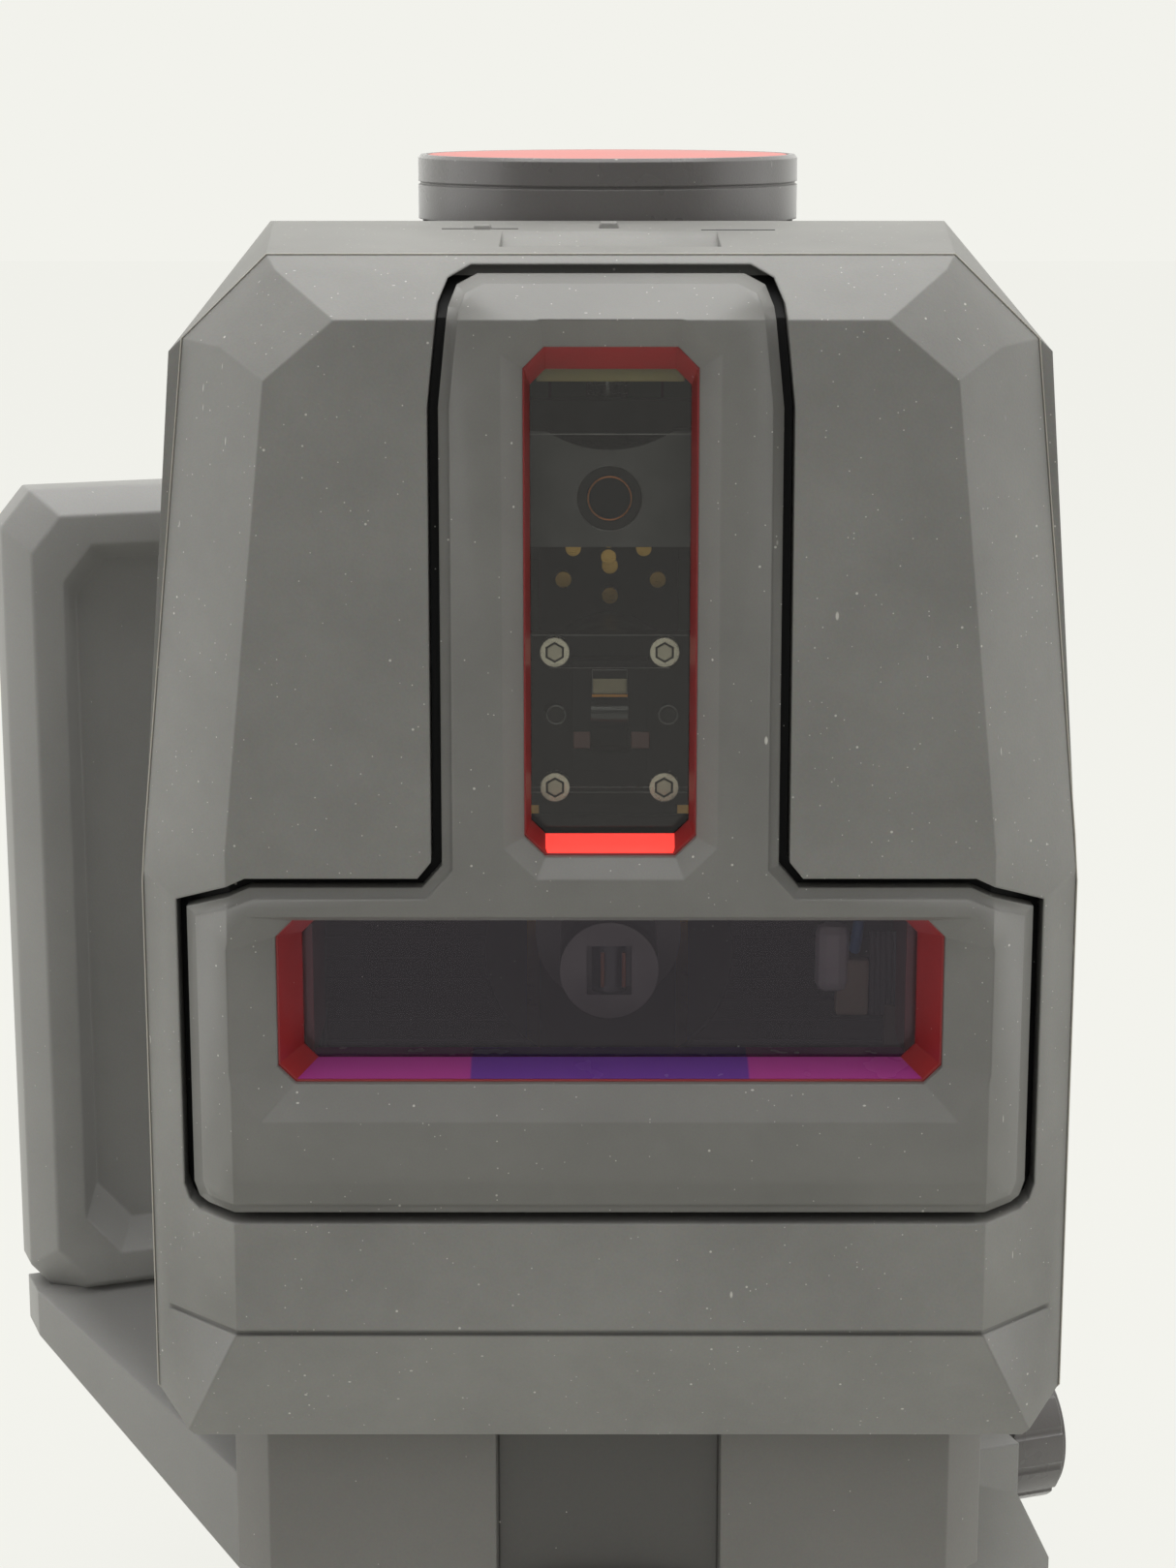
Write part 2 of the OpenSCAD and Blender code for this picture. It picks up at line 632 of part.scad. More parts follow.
module lock_knob_ring() color("#525052")
    translate([0, knob_y, top_z + dial_h + seat_gap]) rotate_extrude($fn = 96)
        polygon([[4.5, 0], [knob_dia / 2, 0], [knob_dia / 2, knob_h - 4.3], [knob_dia / 2 - 0.3, knob_h - 4.2],
                 [knob_dia / 2 - 0.3, knob_h - 3.9], [knob_dia / 2, knob_h - 3.8], [knob_dia / 2, knob_h - 0.5],
                 [knob_dia / 2 - 0.4, knob_h], [knob_dia / 2 - 1.2, knob_h], [knob_dia / 2 - 1.2, knob_h - 3.5],
                 [4.5, knob_h - 3.5]]);

module lock_knob_cap() color("#b4524e")
    translate([0, knob_y, top_z + dial_h + seat_gap + knob_h - 3.5]) rotate_extrude($fn = 96)
        polygon([[0, 0], [knob_dia / 2 - 1.3, 0], [knob_dia / 2 - 1.3, 3.1], [knob_dia / 2 - 1.7, 3.5], [0, 3.7]]);

module lock_knob_shaft() color("#9b9da0") {
    z1 = top_z + dial_h + seat_gap + knob_h - 3.5;
    translate([0, knob_y, 0]) difference() {
        union() {
            translate([0, 0, top_z - 8]) cylinder(r = 7, h = 8 + dial_h + seat_gap);
            translate([0, 0, top_z - 8]) cylinder(r = 4.5, h = z1 - top_z + 8);
            translate([0, 0, top_z - 8]) cylinder(r = 10, h = 8 - wall - seat_gap);
        }
        translate([0, 0, top_z - 9]) cylinder(r = pin_lock_r + run_gap, h = 12);
    }
}

module lock_pin() color("#c5c7c9") {
    translate([0, knob_y, 0]) {
        translate([0, 0, lock_pin_foot + 2]) cylinder(r = pin_lock_r, h = top_z - 4 - lock_pin_foot);
        translate([0, 0, lock_pin_foot]) cylinder(r1 = 2, r2 = pin_lock_r, h = 2);
    }
}

// ---- Pendulum ----

module gimbal_ring() color("#8f9194") {
    z0 = pivot_z - ring_h / 2;
    difference() {
        union() {
            block([-ring_x, pivot_y - ring_y, z0], [ring_x, pivot_y + ring_y, z0 + ring_h]);
            translate([0, 0, pivot_z]) {
                rod_y(gimbal_pin_r, front_bar_y + 0.4, pivot_y - ring_y + 1);
                rod_y(gimbal_pin_r, pivot_y + ring_y - 1, rear_bar_y + bar_t - 0.4);
            }
        }
        block([-ring_x + ring_wall, pivot_y - ring_y + ring_wall, z0 - 1],
              [ring_x - ring_wall, pivot_y + ring_y - ring_wall, z0 + ring_h + 1]);
        translate([0, pivot_y, pivot_z]) rod_x(pin_x + run_gap, -HUGE / 4, HUGE / 4);
    }
}

module pendulum_frame() color("#7f8184") {
    head_x = ring_x - ring_wall - 0.8;
    head_y = ring_y - ring_wall - 0.76 - 12 * sin(swing);
    // Head inside the gimbal ring, and its side pins
    block([-head_x, pivot_y - head_y, pivot_z - 12], [head_x, pivot_y + head_y, pivot_z + 5]);
    translate([0, pivot_y, pivot_z]) rod_x(pin_x, -ring_x + 0.2, ring_x - 0.2);
    // Stem
    difference() {
        block([-10, stem_front, damper_z + 3], [10, stem_front + stem_d, pivot_z - 8]);
        for (z = [slit_module_z, band_module_z]) translate([0, 0, z]) rod_y(4.5, stem_front - 1, stem_front + stem_d + 1);
    }
    // Tail plate under the lock pin
    block([-8, stem_front + stem_d - 1, lock_plate_z], [8, knob_y + 8, lock_plate_z + lock_plate_t]);
    prism_x([[stem_front + stem_d - 1, lock_plate_z - 12], [stem_front + stem_d + 8, lock_plate_z + 1],
             [stem_front + stem_d - 1, lock_plate_z + 1]], -1.5, 1.5);
}

module vertical_module() color("#2b2b2e") {
    z = slit_module_z;
    hx = 5;
    difference() {
        union() {
            block([-12, module_y, z - 13], [12, module_y + 3, z + 10.5]);
            translate([0, 0, z]) rod_y(9, module_y + 2, stem_front);
            block([-hx, module_y - 3, z - 7.5], [hx, module_y + 1, z + 7.5]);
        }
        // Aperture in front of the rod
        block([-2.5, module_y - 4, z - 5], [2.5, module_y + 1, z + 5]);
        translate([0, module_y, z]) rod_x(rod_r + 0.02, -4.2, 4.2);
        // Adjusting holes beside the lens
        both_sides() translate([7.6, 0, z]) rod_y(1.2, module_y - 1, module_y + 2);
        both_sides() for (dz = [-10.1, 8.4]) translate([7.35, 0, z + dz]) rod_y(1.02, module_y - 1, module_y + 4);
        translate([0, 0, z]) rod_y(4.5, module_y + 4, stem_front + 1);
    }
}

module vertical_fan_rod() color("#d8c9a0", 0.6)
    translate([0, module_y, slit_module_z]) rod_x(rod_r, -4.2, 4.2);

module horizontal_module() color("#8f8f8e") {
    translate([0, 0, band_module_z]) difference() {
        union() {
            rod_y(nose_r, module_y - 1, stem_front - 8);
            rod_y(nose_r + 3.6, stem_front - 9, stem_front - 5);
            rod_y(9, stem_front - 6, stem_front);
        }
        block([-3.05, module_y - 2, -3.45], [3.05, module_y + 3, 3.45]);
        translate([0, module_y + 2, -3.45]) cylinder(r = rod_r + 0.02, h = 6.9);
        rod_y(3.5, module_y + 6, stem_front + 1);
    }
}

module horizontal_fan_rod() color("#d8c9a0", 0.6)
    translate([0, module_y + 2, band_module_z - 3.45]) cylinder(r = rod_r, h = 6.9);

module module_screws() color("#6d6a62") {
    z = slit_module_z;
    // Socket-head screws of the vertical-line module
    both_sides() for (dz = [-10.1, 8.4]) translate([7.35, 0, z + dz]) difference() {
        union() {
            rod_y(1.98, module_y - 2, module_y);
            rod_y(1, module_y - 0.5, module_y + 3);
        }
        translate([0, module_y - 0.9, 0]) rotate([90, 0, 0]) cylinder(r = 0.87, h = 2, $fn = 6);
    }
    // Brass trim screws of the pendulum head
    for (p = [[-5, -10], [5, -10], [0, -8.8], [0, -11.2]])
        translate([p.x, 0, pivot_z + p.y]) rod_y(1.1, stem_front - 1.4, stem_front);
}

module damper_plate() color("#b5693f") {
    translate([0, pivot_y, damper_z]) cylinder(r = damper_r, h = 3);
}

module balance_weight() color("#b89a52") {
    block([-12, stem_front + stem_d, damper_z + 6], [12, stem_front + stem_d + weight_d, lock_plate_z - 14]);
}

// ---- Buttons and battery ----

module button(x) {
    translate([x, 0, button_z]) {
        rod_y(button_r, back_y - 3, back_y + 1.2);
        rod_y(button_r + 1.2, back_y - 5, back_y - 3);
    }
}
module button_left() color("#3b3b3e") button(button_xs[0]);
module button_middle() color("#3b3b3e") button(button_xs[1]);
module button_right() color("#3b3b3e") button(button_xs[2]);

module battery_pack() color("#2f2f32") {
    block([cell_x0, cell_y0, cell_z0], [rim_x + flare_w - 0.4, cell_y1 - seat_gap, cell_z1]);
}

module battery_grip() color("#1b1b1d") {
    x = rim_x + flare_w - 0.4;
    block([x, cell_y0 + 4, cell_z0 + 6], [x + 1.2, cell_y1 - 5, cell_z1 - 6]);
    for (z = [cell_z0 + 10 : 5 : cell_z1 - 12]) block([x + 1.1, cell_y0 + 6, z], [x + 2.2, cell_y1 - 7, z + 2]);
}

// ---- Bracket ----

keyholes = [[0, tray_top - 24], [-44, tray_z + 36], [44, tray_z + 36]];
magnet_spots = [[-44, tray_top - 22], [44, tray_top - 22], [-20, tray_z + 62], [20, tray_z + 62]];
pad_spots = [for (x = [-tray_x + 12, tray_x - 12], z = [tray_z + 16, tray_top - 16]) [x, z]];

module tray_front_outline(g, y0, y1)
    prism_y(whole([[0, tray_top - g], [tray_x - 5 - g, tray_top - g], [tray_x - g, tray_top - 6 - g],
                   [tray_x - g, tray_z + 7 + g], [tray_x - 6 - g, tray_z + g], [0, tray_z + g]]), y0, y1);

module tray_form() hull() {
    tray_front_outline(4, tray_front, tray_front + EPS);
    tray_front_outline(0, tray_front + 5, wall_dist);
}

module wall_tray() color("#7d7b78") turned() difference() {
    tray_form();
    // Recess inside the bevelled rim
    hull() {
        tray_front_outline(9, tray_front - 1, tray_front);
        tray_front_outline(12.5, wall_dist - 4, wall_dist - 4 + EPS);
    }
    // Keyholes: a round hole, and a slot up from it
    for (p = keyholes) translate([p.x, 0, p.y]) {
        rod_y(4.5, tray_front, wall_dist + 1);
        rod_y(2.3, tray_front, wall_dist + 1);
        block([-2.2, tray_front, 0], [2.2, wall_dist + 1, 9]);
    }
    // Magnet pockets in the back
    for (p = magnet_spots) translate([p.x, 0, p.y]) rod_y(9 + 0.05, wall_dist - 3, wall_dist + 1);
    // Pockets of the pads
    for (p = pad_spots) translate([p.x, 0, p.y]) rod_y(6 + 0.05, wall_dist - 1.5, wall_dist + 1);
}

// Arm from the tray's foot down to the base, hollow from below
module bracket_arm() color("#7d7b78") turned() difference() {
    hull() {
        block([0.5 - tray_x, wall_dist - 10, tray_z - 5], [tray_x - 0.5, wall_dist - 1, tray_z + 3]);
        block([-40, base_r - 8, 4], [40, base_r - 4, 24]);
    }
    tray_form();
    cylinder(r = base_r, h = 60);
    hull() {
        block([8.5 - tray_x, wall_dist - 14, tray_z - 12], [tray_x - 8.5, wall_dist - 8, tray_z - 4]);
        block([-36, base_r + 4, 0], [36, base_r + 6, 16]);
    }
}

module wall_magnets() color("#c6c9cc") turned()
    for (p = magnet_spots) translate([p.x, 0, p.y]) rod_y(9, wall_dist - 3, wall_dist - 0.2);

module wall_pads() color("#232325") turned()
    for (p = pad_spots) translate([p.x, 0, p.y]) rod_y(6, wall_dist - 1.5, wall_dist);

module base_shell() color("#767472") turned() {
    difference() {
        union() {
            // Round base: outer wall, deck, hub and floor web, as one profile
            rotate_extrude($fn = 96) difference() {
                polygon([[spindle_r + bush_t, hub_z], [16, hub_z], [16, hub_z + 2], [base_r - 3, hub_z + 2],
                         [base_r - 3, foot_t + cover_t], [base_r, foot_t + cover_t],
                         [base_r, base_h - 4], [base_r - 1, base_h - 3], [base_r - 3, base_h - 3],
                         [base_r - 3, web_z], [27, web_z], [27, deck_z + 3], [washer_r + 0.5, deck_z + 3],
                         [washer_r + 0.5, deck_z], [spindle_r + bush_t, deck_z]]);
                polygon([[16, web_z], [23, web_z], [23, deck_z - 7], [16, deck_z - 4]]);
            }
            // Drive box on the right, with a flared foot
            difference() {
                prism_y([[base_r - 5, foot_t], [box_x + 6, foot_t], [box_x + 6, 20], [box_x, 28],
                         [box_x, box_top], [base_r - 2, box_top]], -box_y, box_y);
                cylinder(r = base_r - 1.5, h = 60);
                cylinder(r = base_r, h = foot_t + cover_t);
                prism_y([[base_r - 1, -1], [box_x + 3, -1], [box_x + 3, 19], [box_x - 3, 27],
                         [box_x - 3, box_top - 1.4], [base_r - 1, box_top - 1.4]], -box_y + 3, box_y - 3);
            }
        }
        // Shaft bores: inner wall, outer wall and box end
        translate([0, 0, shaft_z]) rod_x(shaft_r + run_gap, washer_r, 28);
        translate([0, 0, shaft_z]) rod_x(shaft_r + 0.6, base_r - 5, base_r + 2);
        translate([0, 0, shaft_z]) rod_x(shaft_r + 1.2, box_x - 4, box_x + 1);
    }
    // Cheeks beside the fine knob
    for (side = [-1, 1]) translate([0, side * (box_y - 1.3), 0])
        prism_y([[box_x - 1, 19], [box_x + 6, 19], [box_x + 6, 24], [box_x, 36], [box_x - 1, 36]], -1.3, 1.3);
    // Screw posts for the cover
    for (a = [45:90:315]) rotate([0, 0, a]) translate([base_r - 6, 0, foot_t + cover_t])
        difference() {
            cylinder(r = 3.2, h = hub_z + 2 - foot_t - cover_t);
            translate([0, 0, -1]) cylinder(r = 1.25, h = 12);
        }
}

module base_cover() color("#3c3b3b") turned() difference() {
    union() {
        translate([0, 0, foot_t]) cylinder(r = base_r - 0.1, h = cover_t - EPS);
        // Tongue that closes the drive box
        block([base_r - 0.9, -box_y + 3.1, foot_t], [box_x + 2.9, box_y - 3.1, foot_t + cover_t - EPS]);
        translate([0, 0, 0]) cylinder(r = insert_r + 5, h = insert_h + 1);
        translate([0, quarter_y, 0]) cylinder(r = quarter_r + 4, h = 9);
    }
    translate([0, 0, -1]) cylinder(r = insert_r + 2, h = insert_h + 1);
    translate([0, quarter_y, -1]) cylinder(r = quarter_r + 1.6, h = 9);
    for (a = [45:90:315]) rotate([0, 0, a]) translate([base_r - 6, 0, 0]) {
        translate([0, 0, -1]) cylinder(r = 1.6, h = 8);
        translate([0, 0, 1.9]) cylinder(r = 3, h = 1.6);
    }
}

module foot_pad() color("#202022") turned() difference() {
    tube(insert_r + 9, base_r - 2, 0, foot_t);
    translate([0, quarter_y, -1]) cylinder(r = quarter_r + 4 + seat_gap, h = 5);
    for (a = [45:90:315]) rotate([0, 0, a]) translate([base_r - 6, 0, -1]) cylinder(r = 3.2, h = 5);
}

module tripod_insert() color("#c39a4a") turned() difference() {
    cylinder(r = insert_r + 2, h = insert_h);
    translate([0, 0, -1]) cylinder(r = insert_r, h = insert_h + 2);
}

module quarter_inch_insert() color("#c39a4a") turned() translate([0, quarter_y, 0]) difference() {
    cylinder(r = quarter_r + 1.6, h = 8);
    translate([0, 0, -1]) cylinder(r = quarter_r, h = 10);
}

module swivel_bush() color("#b98a4a") turned()
    tube(spindle_r + run_gap, spindle_r + bush_t, hub_z, deck_z);

module thrust_washer() color("#d9d4c4") turned()
    tube(spindle_r + bush_t + 1, washer_r, deck_z, deck_z + washer_t - 0.02);

module shaft_bush() color("#b98a4a") turned() translate([0, 0, shaft_z]) difference() {
    rod_x(shaft_r + 1.2, box_x - 3, box_x);
    rod_x(shaft_r + run_gap, box_x - 4, box_x + 1);
}

module base_screws() color("#8d8f92") turned()
    for (a = [45:90:315]) rotate([0, 0, a]) translate([base_r - 6, 0, 0]) {
        translate([0, 0, 1.9]) cylinder(r = 2.9, h = 1.5);
        translate([0, 0, 3]) cylinder(r = 1.2, h = 11);
    }

// ---- Fine adjustment ----

module fine_knob() color("#6c6a69") turned() translate([0, 0, shaft_z]) difference() {
    union() {
        rod_x(fine_r - 0.8, fine_x, fine_x + fine_l);
        rod_x(fine_r, fine_x + 0.8, fine_x + fine_l - 0.8);
    }
    // Grip flutes
    for (i = [0:11]) rotate([i * 30 + 12, 0, 0]) translate([0, 0, fine_r + 0.5]) rod_x(0.9, fine_x - 1, fine_x + fine_l + 1);
    rod_x(shaft_r, fine_x - 1, fine_x + fine_l - 2);
}

module fine_shaft() color("#b9bbbd") turned() translate([0, 0, shaft_z])
    rod_x(shaft_r, 24.5, fine_x + fine_l - 2);

module fine_pinion() color("#c8a24a") turned() translate([crown_r - gear_face / 2 - 0.2, 0, shaft_z]) {
    half = 90 / pinion_teeth;         // half a tooth at the pitch circle, in degrees
    tip_r = pinion_r + gear_mod * 0.9;
    root_r = pinion_r - gear_mod * 1.2;
    // Tooth flanks as chords of an involute-like curve; a gap stands straight up at rest
    rotate([0, 90, 0]) difference() {
        linear_extrude(gear_face + 0.4) polygon([for (i = [0:pinion_teeth - 1])
            let (a = 180 + (i + 0.5) * 360 / pinion_teeth)
            for (p = [[root_r, -half * 1.45], [pinion_r, -half * 0.9], [tip_r, -half * 0.42],
                      [tip_r, half * 0.42], [pinion_r, half * 0.9], [root_r, half * 1.45]])
                p.x * [cos(a + p.y), sin(a + p.y)]]);
        translate([0, 0, -1]) cylinder(r = shaft_r, h = gear_face + 3);
    }
}

wall_tray();
bracket_arm();
base_shell();
base_cover();
foot_pad();
tripod_insert();
quarter_inch_insert();
wall_magnets();
wall_pads();
swivel_bush();
thrust_washer();
shaft_bush();
base_screws();
fine_knob();
fine_shaft();
fine_pinion();
front_shell();
window_bezel();
bezel_gasket();
optics_hood();
vertical_glass();
horizontal_glass();
light_baffle();
rear_housing();
index_ring();
lower_housing();
turntable();
crown_gear();
swivel_spindle();
spindle_clip();
gimbal_chassis();
gimbal_bearings();
damper_magnets();
circuit_board();
flex_connector();
battery_contacts();
housing_screws();
lock_knob_ring();
lock_knob_cap();
lock_knob_shaft();
lock_pin();
gimbal_ring();
pendulum_frame();
vertical_module();
horizontal_module();
vertical_fan_rod();
horizontal_fan_rod();
module_screws();
damper_plate();
balance_weight();
button_left();
button_middle();
button_right();
battery_pack();
battery_grip();
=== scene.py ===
# %% [markdown]
# # A cross-line laser level on its wall bracket
# The imported CAD model holds every solid at its real size. This script gives those solids their
# finishes and adds the fine things that belong to the looks: index marks, wires, films and dust.
# The first cell loads the CAD model.
# Positions are written in millimetres, as on a drawing, and multiplied by MM, because Blender
# works in metres.

import math

import bmesh
import bpy
import numpy as np
from mathutils import Matrix, Vector
from mathutils.bvhtree import BVHTree


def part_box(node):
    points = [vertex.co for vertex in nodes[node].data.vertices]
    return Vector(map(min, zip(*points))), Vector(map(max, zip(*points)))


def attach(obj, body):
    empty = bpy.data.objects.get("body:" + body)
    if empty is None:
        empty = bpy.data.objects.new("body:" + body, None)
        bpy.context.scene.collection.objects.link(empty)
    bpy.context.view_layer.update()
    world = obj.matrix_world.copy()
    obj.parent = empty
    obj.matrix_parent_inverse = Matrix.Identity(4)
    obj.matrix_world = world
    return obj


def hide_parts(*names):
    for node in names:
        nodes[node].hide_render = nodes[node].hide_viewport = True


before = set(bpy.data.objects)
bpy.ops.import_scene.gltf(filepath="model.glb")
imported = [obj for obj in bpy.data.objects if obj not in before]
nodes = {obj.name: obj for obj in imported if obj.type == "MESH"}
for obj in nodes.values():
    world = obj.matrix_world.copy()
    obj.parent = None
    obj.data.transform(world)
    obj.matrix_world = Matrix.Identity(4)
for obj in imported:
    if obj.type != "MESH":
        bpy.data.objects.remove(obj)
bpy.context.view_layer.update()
MM = 0.001
print("CAD nodes:", len(nodes))

# %% [markdown]
# ## Camera
# The picture was taken from just above the top of the head, looking down by about 13 degrees. A
# camera could be moved by hand until the picture fits. Here its angle, lens and place are given
# as numbers settled by named points of the photograph: the ellipse of the top knob gives the
# angle, and the way upright edges close together gives the lens.

# %% Image points
W, H = 1176, 1568
POINTS = {
    "object top": (588.0, 150.6),
    "object right": (1077.9, 875.0),
    "rim top left": (266.3, 252.8),
    "rim top right": (950.1, 252.8),
    "cheek corner left": (266.3, 380.6),
    "seam left": (235.9, 1335.6),
    "stem groove left": (428.6, 404.0),
    "stem groove right": (775.7, 404.0),
    "slit top left": (519.0, 356.9),
    "slit bottom right": (691.0, 862.0),
    "band bottom left": (279.2, 1093.0),
    "band bottom right": (940.0, 1093.0),
    "knob left": (418.4, 184.0),
    "knob right": (796.1, 184.0),
    "round nose": (612.1, 970.4),
    "index nub left": (482.3, 228.6),
    "index nub middle": (608.7, 227.4),
    "index line left": (480.0, 229.0),
    "index line right": (738.0, 230.2),
}
print("image points:", len(POINTS))

# %% Camera, from numbers that the points gave
SENSOR = 36.0
LENS = 72.42
PITCH = math.radians(12.7)
EYE = Vector((-0.0029, -0.456, 0.256))
NEAREST, FARTHEST = 0.01, 20

camera_data = bpy.data.cameras.new("camera")
camera_data.sensor_width = SENSOR
camera_data.lens = LENS
camera_data.clip_start = NEAREST
camera_data.clip_end = FARTHEST
camera = bpy.data.objects.new("camera", camera_data)
camera.location = EYE
camera.rotation_euler = (math.pi / 2 - PITCH, 0, 0)
bpy.context.scene.collection.objects.link(camera)
bpy.context.scene.camera = camera
bpy.context.view_layer.update()
print("eye above the floor, mm:", round(EYE.z / MM))

# %% [markdown]
# ## Placing things by the photograph
# Marks in view are put where the picture shows them. A ray leaves the camera through the image
# point and stops at the surface that carries the mark. If it misses, the place on the surface
# that is nearest to the ray is taken. The same sum backwards tells where a finished thing shows.

# %% Functions between image points and places
FIRST_LOOK, LOOK_STEP, LOOKS = 0.3, 0.002, 200


def surface_of(names):
    """One search tree over the finished meshes of several objects."""
    corners, faces = [], []
    for name in names:
        thing = bpy.data.objects[name] if name in bpy.data.objects else nodes[name]
        first = len(corners)
        corners += [thing.matrix_world @ v.co for v in thing.data.vertices]
        faces += [[first + i for i in p.vertices] for p in thing.data.polygons]
    return BVHTree.FromPolygons(corners, faces)


def sight_ray(x, y):
    """The direction from the eye through an image point."""
    long_side = max(W, H)
    in_camera = Vector((x - W / 2 + camera_data.shift_x * long_side,
                        H / 2 - y + camera_data.shift_y * long_side,
                        -long_side * camera_data.lens / camera_data.sensor_width))
    return (camera.matrix_world.to_3x3() @ in_camera).normalized()


def place_at(point, surface):
    """Where the image point's ray meets a surface, and the surface's normal there."""
    ray = sight_ray(*POINTS[point])
    place, normal = surface.ray_cast(EYE, ray)[:2]
    if place is None:
        looks = [EYE + ray * (FIRST_LOOK + LOOK_STEP * i) for i in range(LOOKS)]
        near = [surface.find_nearest(look) for look in looks]
        gaps = [((hit[0] - EYE) - ray * (hit[0] - EYE).dot(ray)).length for hit in near]
        place, normal = near[gaps.index(min(gaps))][:2]
    return place, normal


def seen_at(place):
    """The image point at which a place shows."""
    local = camera.matrix_world.inverted() @ Vector(place)
    scale = max(W, H) * camera_data.lens / camera_data.sensor_width
    return (W / 2 - local.x / local.z * scale, H / 2 + local.y / local.z * scale)


print("middle ray:", tuple(round(v, 3) for v in sight_ray(W / 2, H / 2)))

# %% [markdown]
# ## Small helpers
# A colour is written as the hex value that a screen shows, and one function turns it to the
# linear values that the renderer adds and multiplies. One more function adds a shader node with
# its settings and its links, so that a material reads like a recipe.

# %% Colour and node helpers
def hex_colour(text):
    """Linear red, green, blue and alpha of a screen colour, by the sRGB curve."""
    channels = [int(text[i:i + 2], 16) / 255 for i in (1, 3, 5)]
    return tuple(c / 12.92 if c <= 0.04045 else ((c + 0.055) / 1.055) ** 2.4
                 for c in channels) + (1.0,)


def scaled(colour, factor):
    """The same colour, darker or lighter."""
    return tuple(factor * c for c in colour[:3]) + (1.0,)


def set_sockets(node, **sockets):
    """Each socket takes a value or a node's output. Base_Color is "Base Color", _0 the first."""
    for name, value in sockets.items():
        numbered = name[0] == "_" and name[1:].isdigit()
        socket = node.inputs[int(name[1:]) if numbered else name.replace("_", " ")]
        if isinstance(value, bpy.types.NodeSocket):
            node.id_data.links.new(value, socket)
        else:
            socket.default_value = value


def add_node(tree, kind, settings=None, **sockets):
    """A node of a kind. Settings are its own fields."""
    node = tree.nodes.new("ShaderNode" + kind)
    for name, value in (settings or {}).items():
        setattr(node, name, value)
    set_sockets(node, **sockets)
    return node


# Settings that come back. A mix of colours takes them at sockets 6 and 7, and gives one at 2
COLOURS = {"data_type": "RGBA"}
MULTIPLY = {"operation": "MULTIPLY"}
MULTIPLY_ADD = {"operation": "MULTIPLY_ADD"}
LARGER = {"operation": "MAXIMUM"}


def new_material(name):
    """A material, its tree, its shader, and the place on the piece that patterns start from."""
    material = bpy.data.materials.new(name)
    material.use_nodes = True
    tree = material.node_tree
    place = add_node(tree, "TexCoord").outputs["Object"]
    return material, tree, tree.nodes["Principled BSDF"], place


print("grey 50% is", round(hex_colour("#808080")[0], 3), "linear")

# %% [markdown]
# ## Dust
# The used instrument carries white dust: grains of about 0.2 mm, and short fibres. It could be
# scattered as thousands of tiny meshes, but a pattern costs less and stays on the surface. The
# space is cut into cells that hold one grain each, and a random number per cell leaves most of
# them empty.

# %% Function for one layer of dust
GRAIN_CORE = 0.6    # share of a grain's radius that is fully white
DUST_WHITE = hex_colour("#dcdad2")
DUST_COVER = 0.6    # dust lets a little of the ground through
# Size of a cell and of its grain in mm, and the share of cells that are filled
FINE_DUST = (0.75, 0.11, 0.13)
COARSE_DUST = (2.6, 0.2, 0.35)
FIBRES = (3.4, 0.26, 0.22)
FIBRE_STRETCH, FIBRE_TURN = (1, 4, 0.4), 0.6


def dust_layer(tree, place, kind, amount, stretch=(1, 1, 1), turn=0.0):
    """How much dust lies at a place: a grain in some of the cells, or a fibre, with a stretch."""
    cell_mm, grain_mm, filled = kind
    laid = add_node(tree, "Mapping", Vector=place, Rotation=(turn, turn, 0), Scale=stretch)
    cells = add_node(tree, "TexVoronoi", Vector=laid.outputs["Vector"], Scale=1 / (cell_mm * MM))
    chance = add_node(tree, "SeparateColor", Color=cells.outputs["Color"])
    chosen = add_node(tree, "Math", {"operation": "LESS_THAN"}, _0=chance.outputs["Red"],
                      _1=filled * amount)
    reach = grain_mm / cell_mm
    grain = add_node(tree, "MapRange", Value=cells.outputs["Distance"], From_Min=reach,
                     From_Max=reach * GRAIN_CORE, To_Min=0.0, To_Max=1.0)
    lying = add_node(tree, "Math", MULTIPLY, _0=grain.outputs["Result"],
                     _1=chosen.outputs["Value"])
    return lying.outputs["Value"]


print("cells to the metre in the fine dust:", round(1 / (FINE_DUST[0] * MM)))

# %% [markdown]
# ## Moulded rubber and plastic
# Most of the outside is moulded: a soft grey rubber skin over the head, and harder ABS for the
# bezel, the lower housing and the bracket. A spark-eroded mould leaves a fine pebble grain of
# about 0.2 mm, which breaks up every reflection. In the render that is less than one pixel, so it
# is drawn at 0.35 mm on the skin. The grain could be modelled, but a bump of 0.03 mm gives the
# same sheen. Broad patches, a little lighter and darker, keep the colour from looking painted.

# %% Function for moulded materials
PATCHES_PER_METRE = 45.0    # handling marks of about 20 mm
ROUGH_SPREAD = 0.06
RUBBED = 0.12               # how much the pebbles' tops are rubbed paler than the valleys
PLASTIC_IOR = 1.5


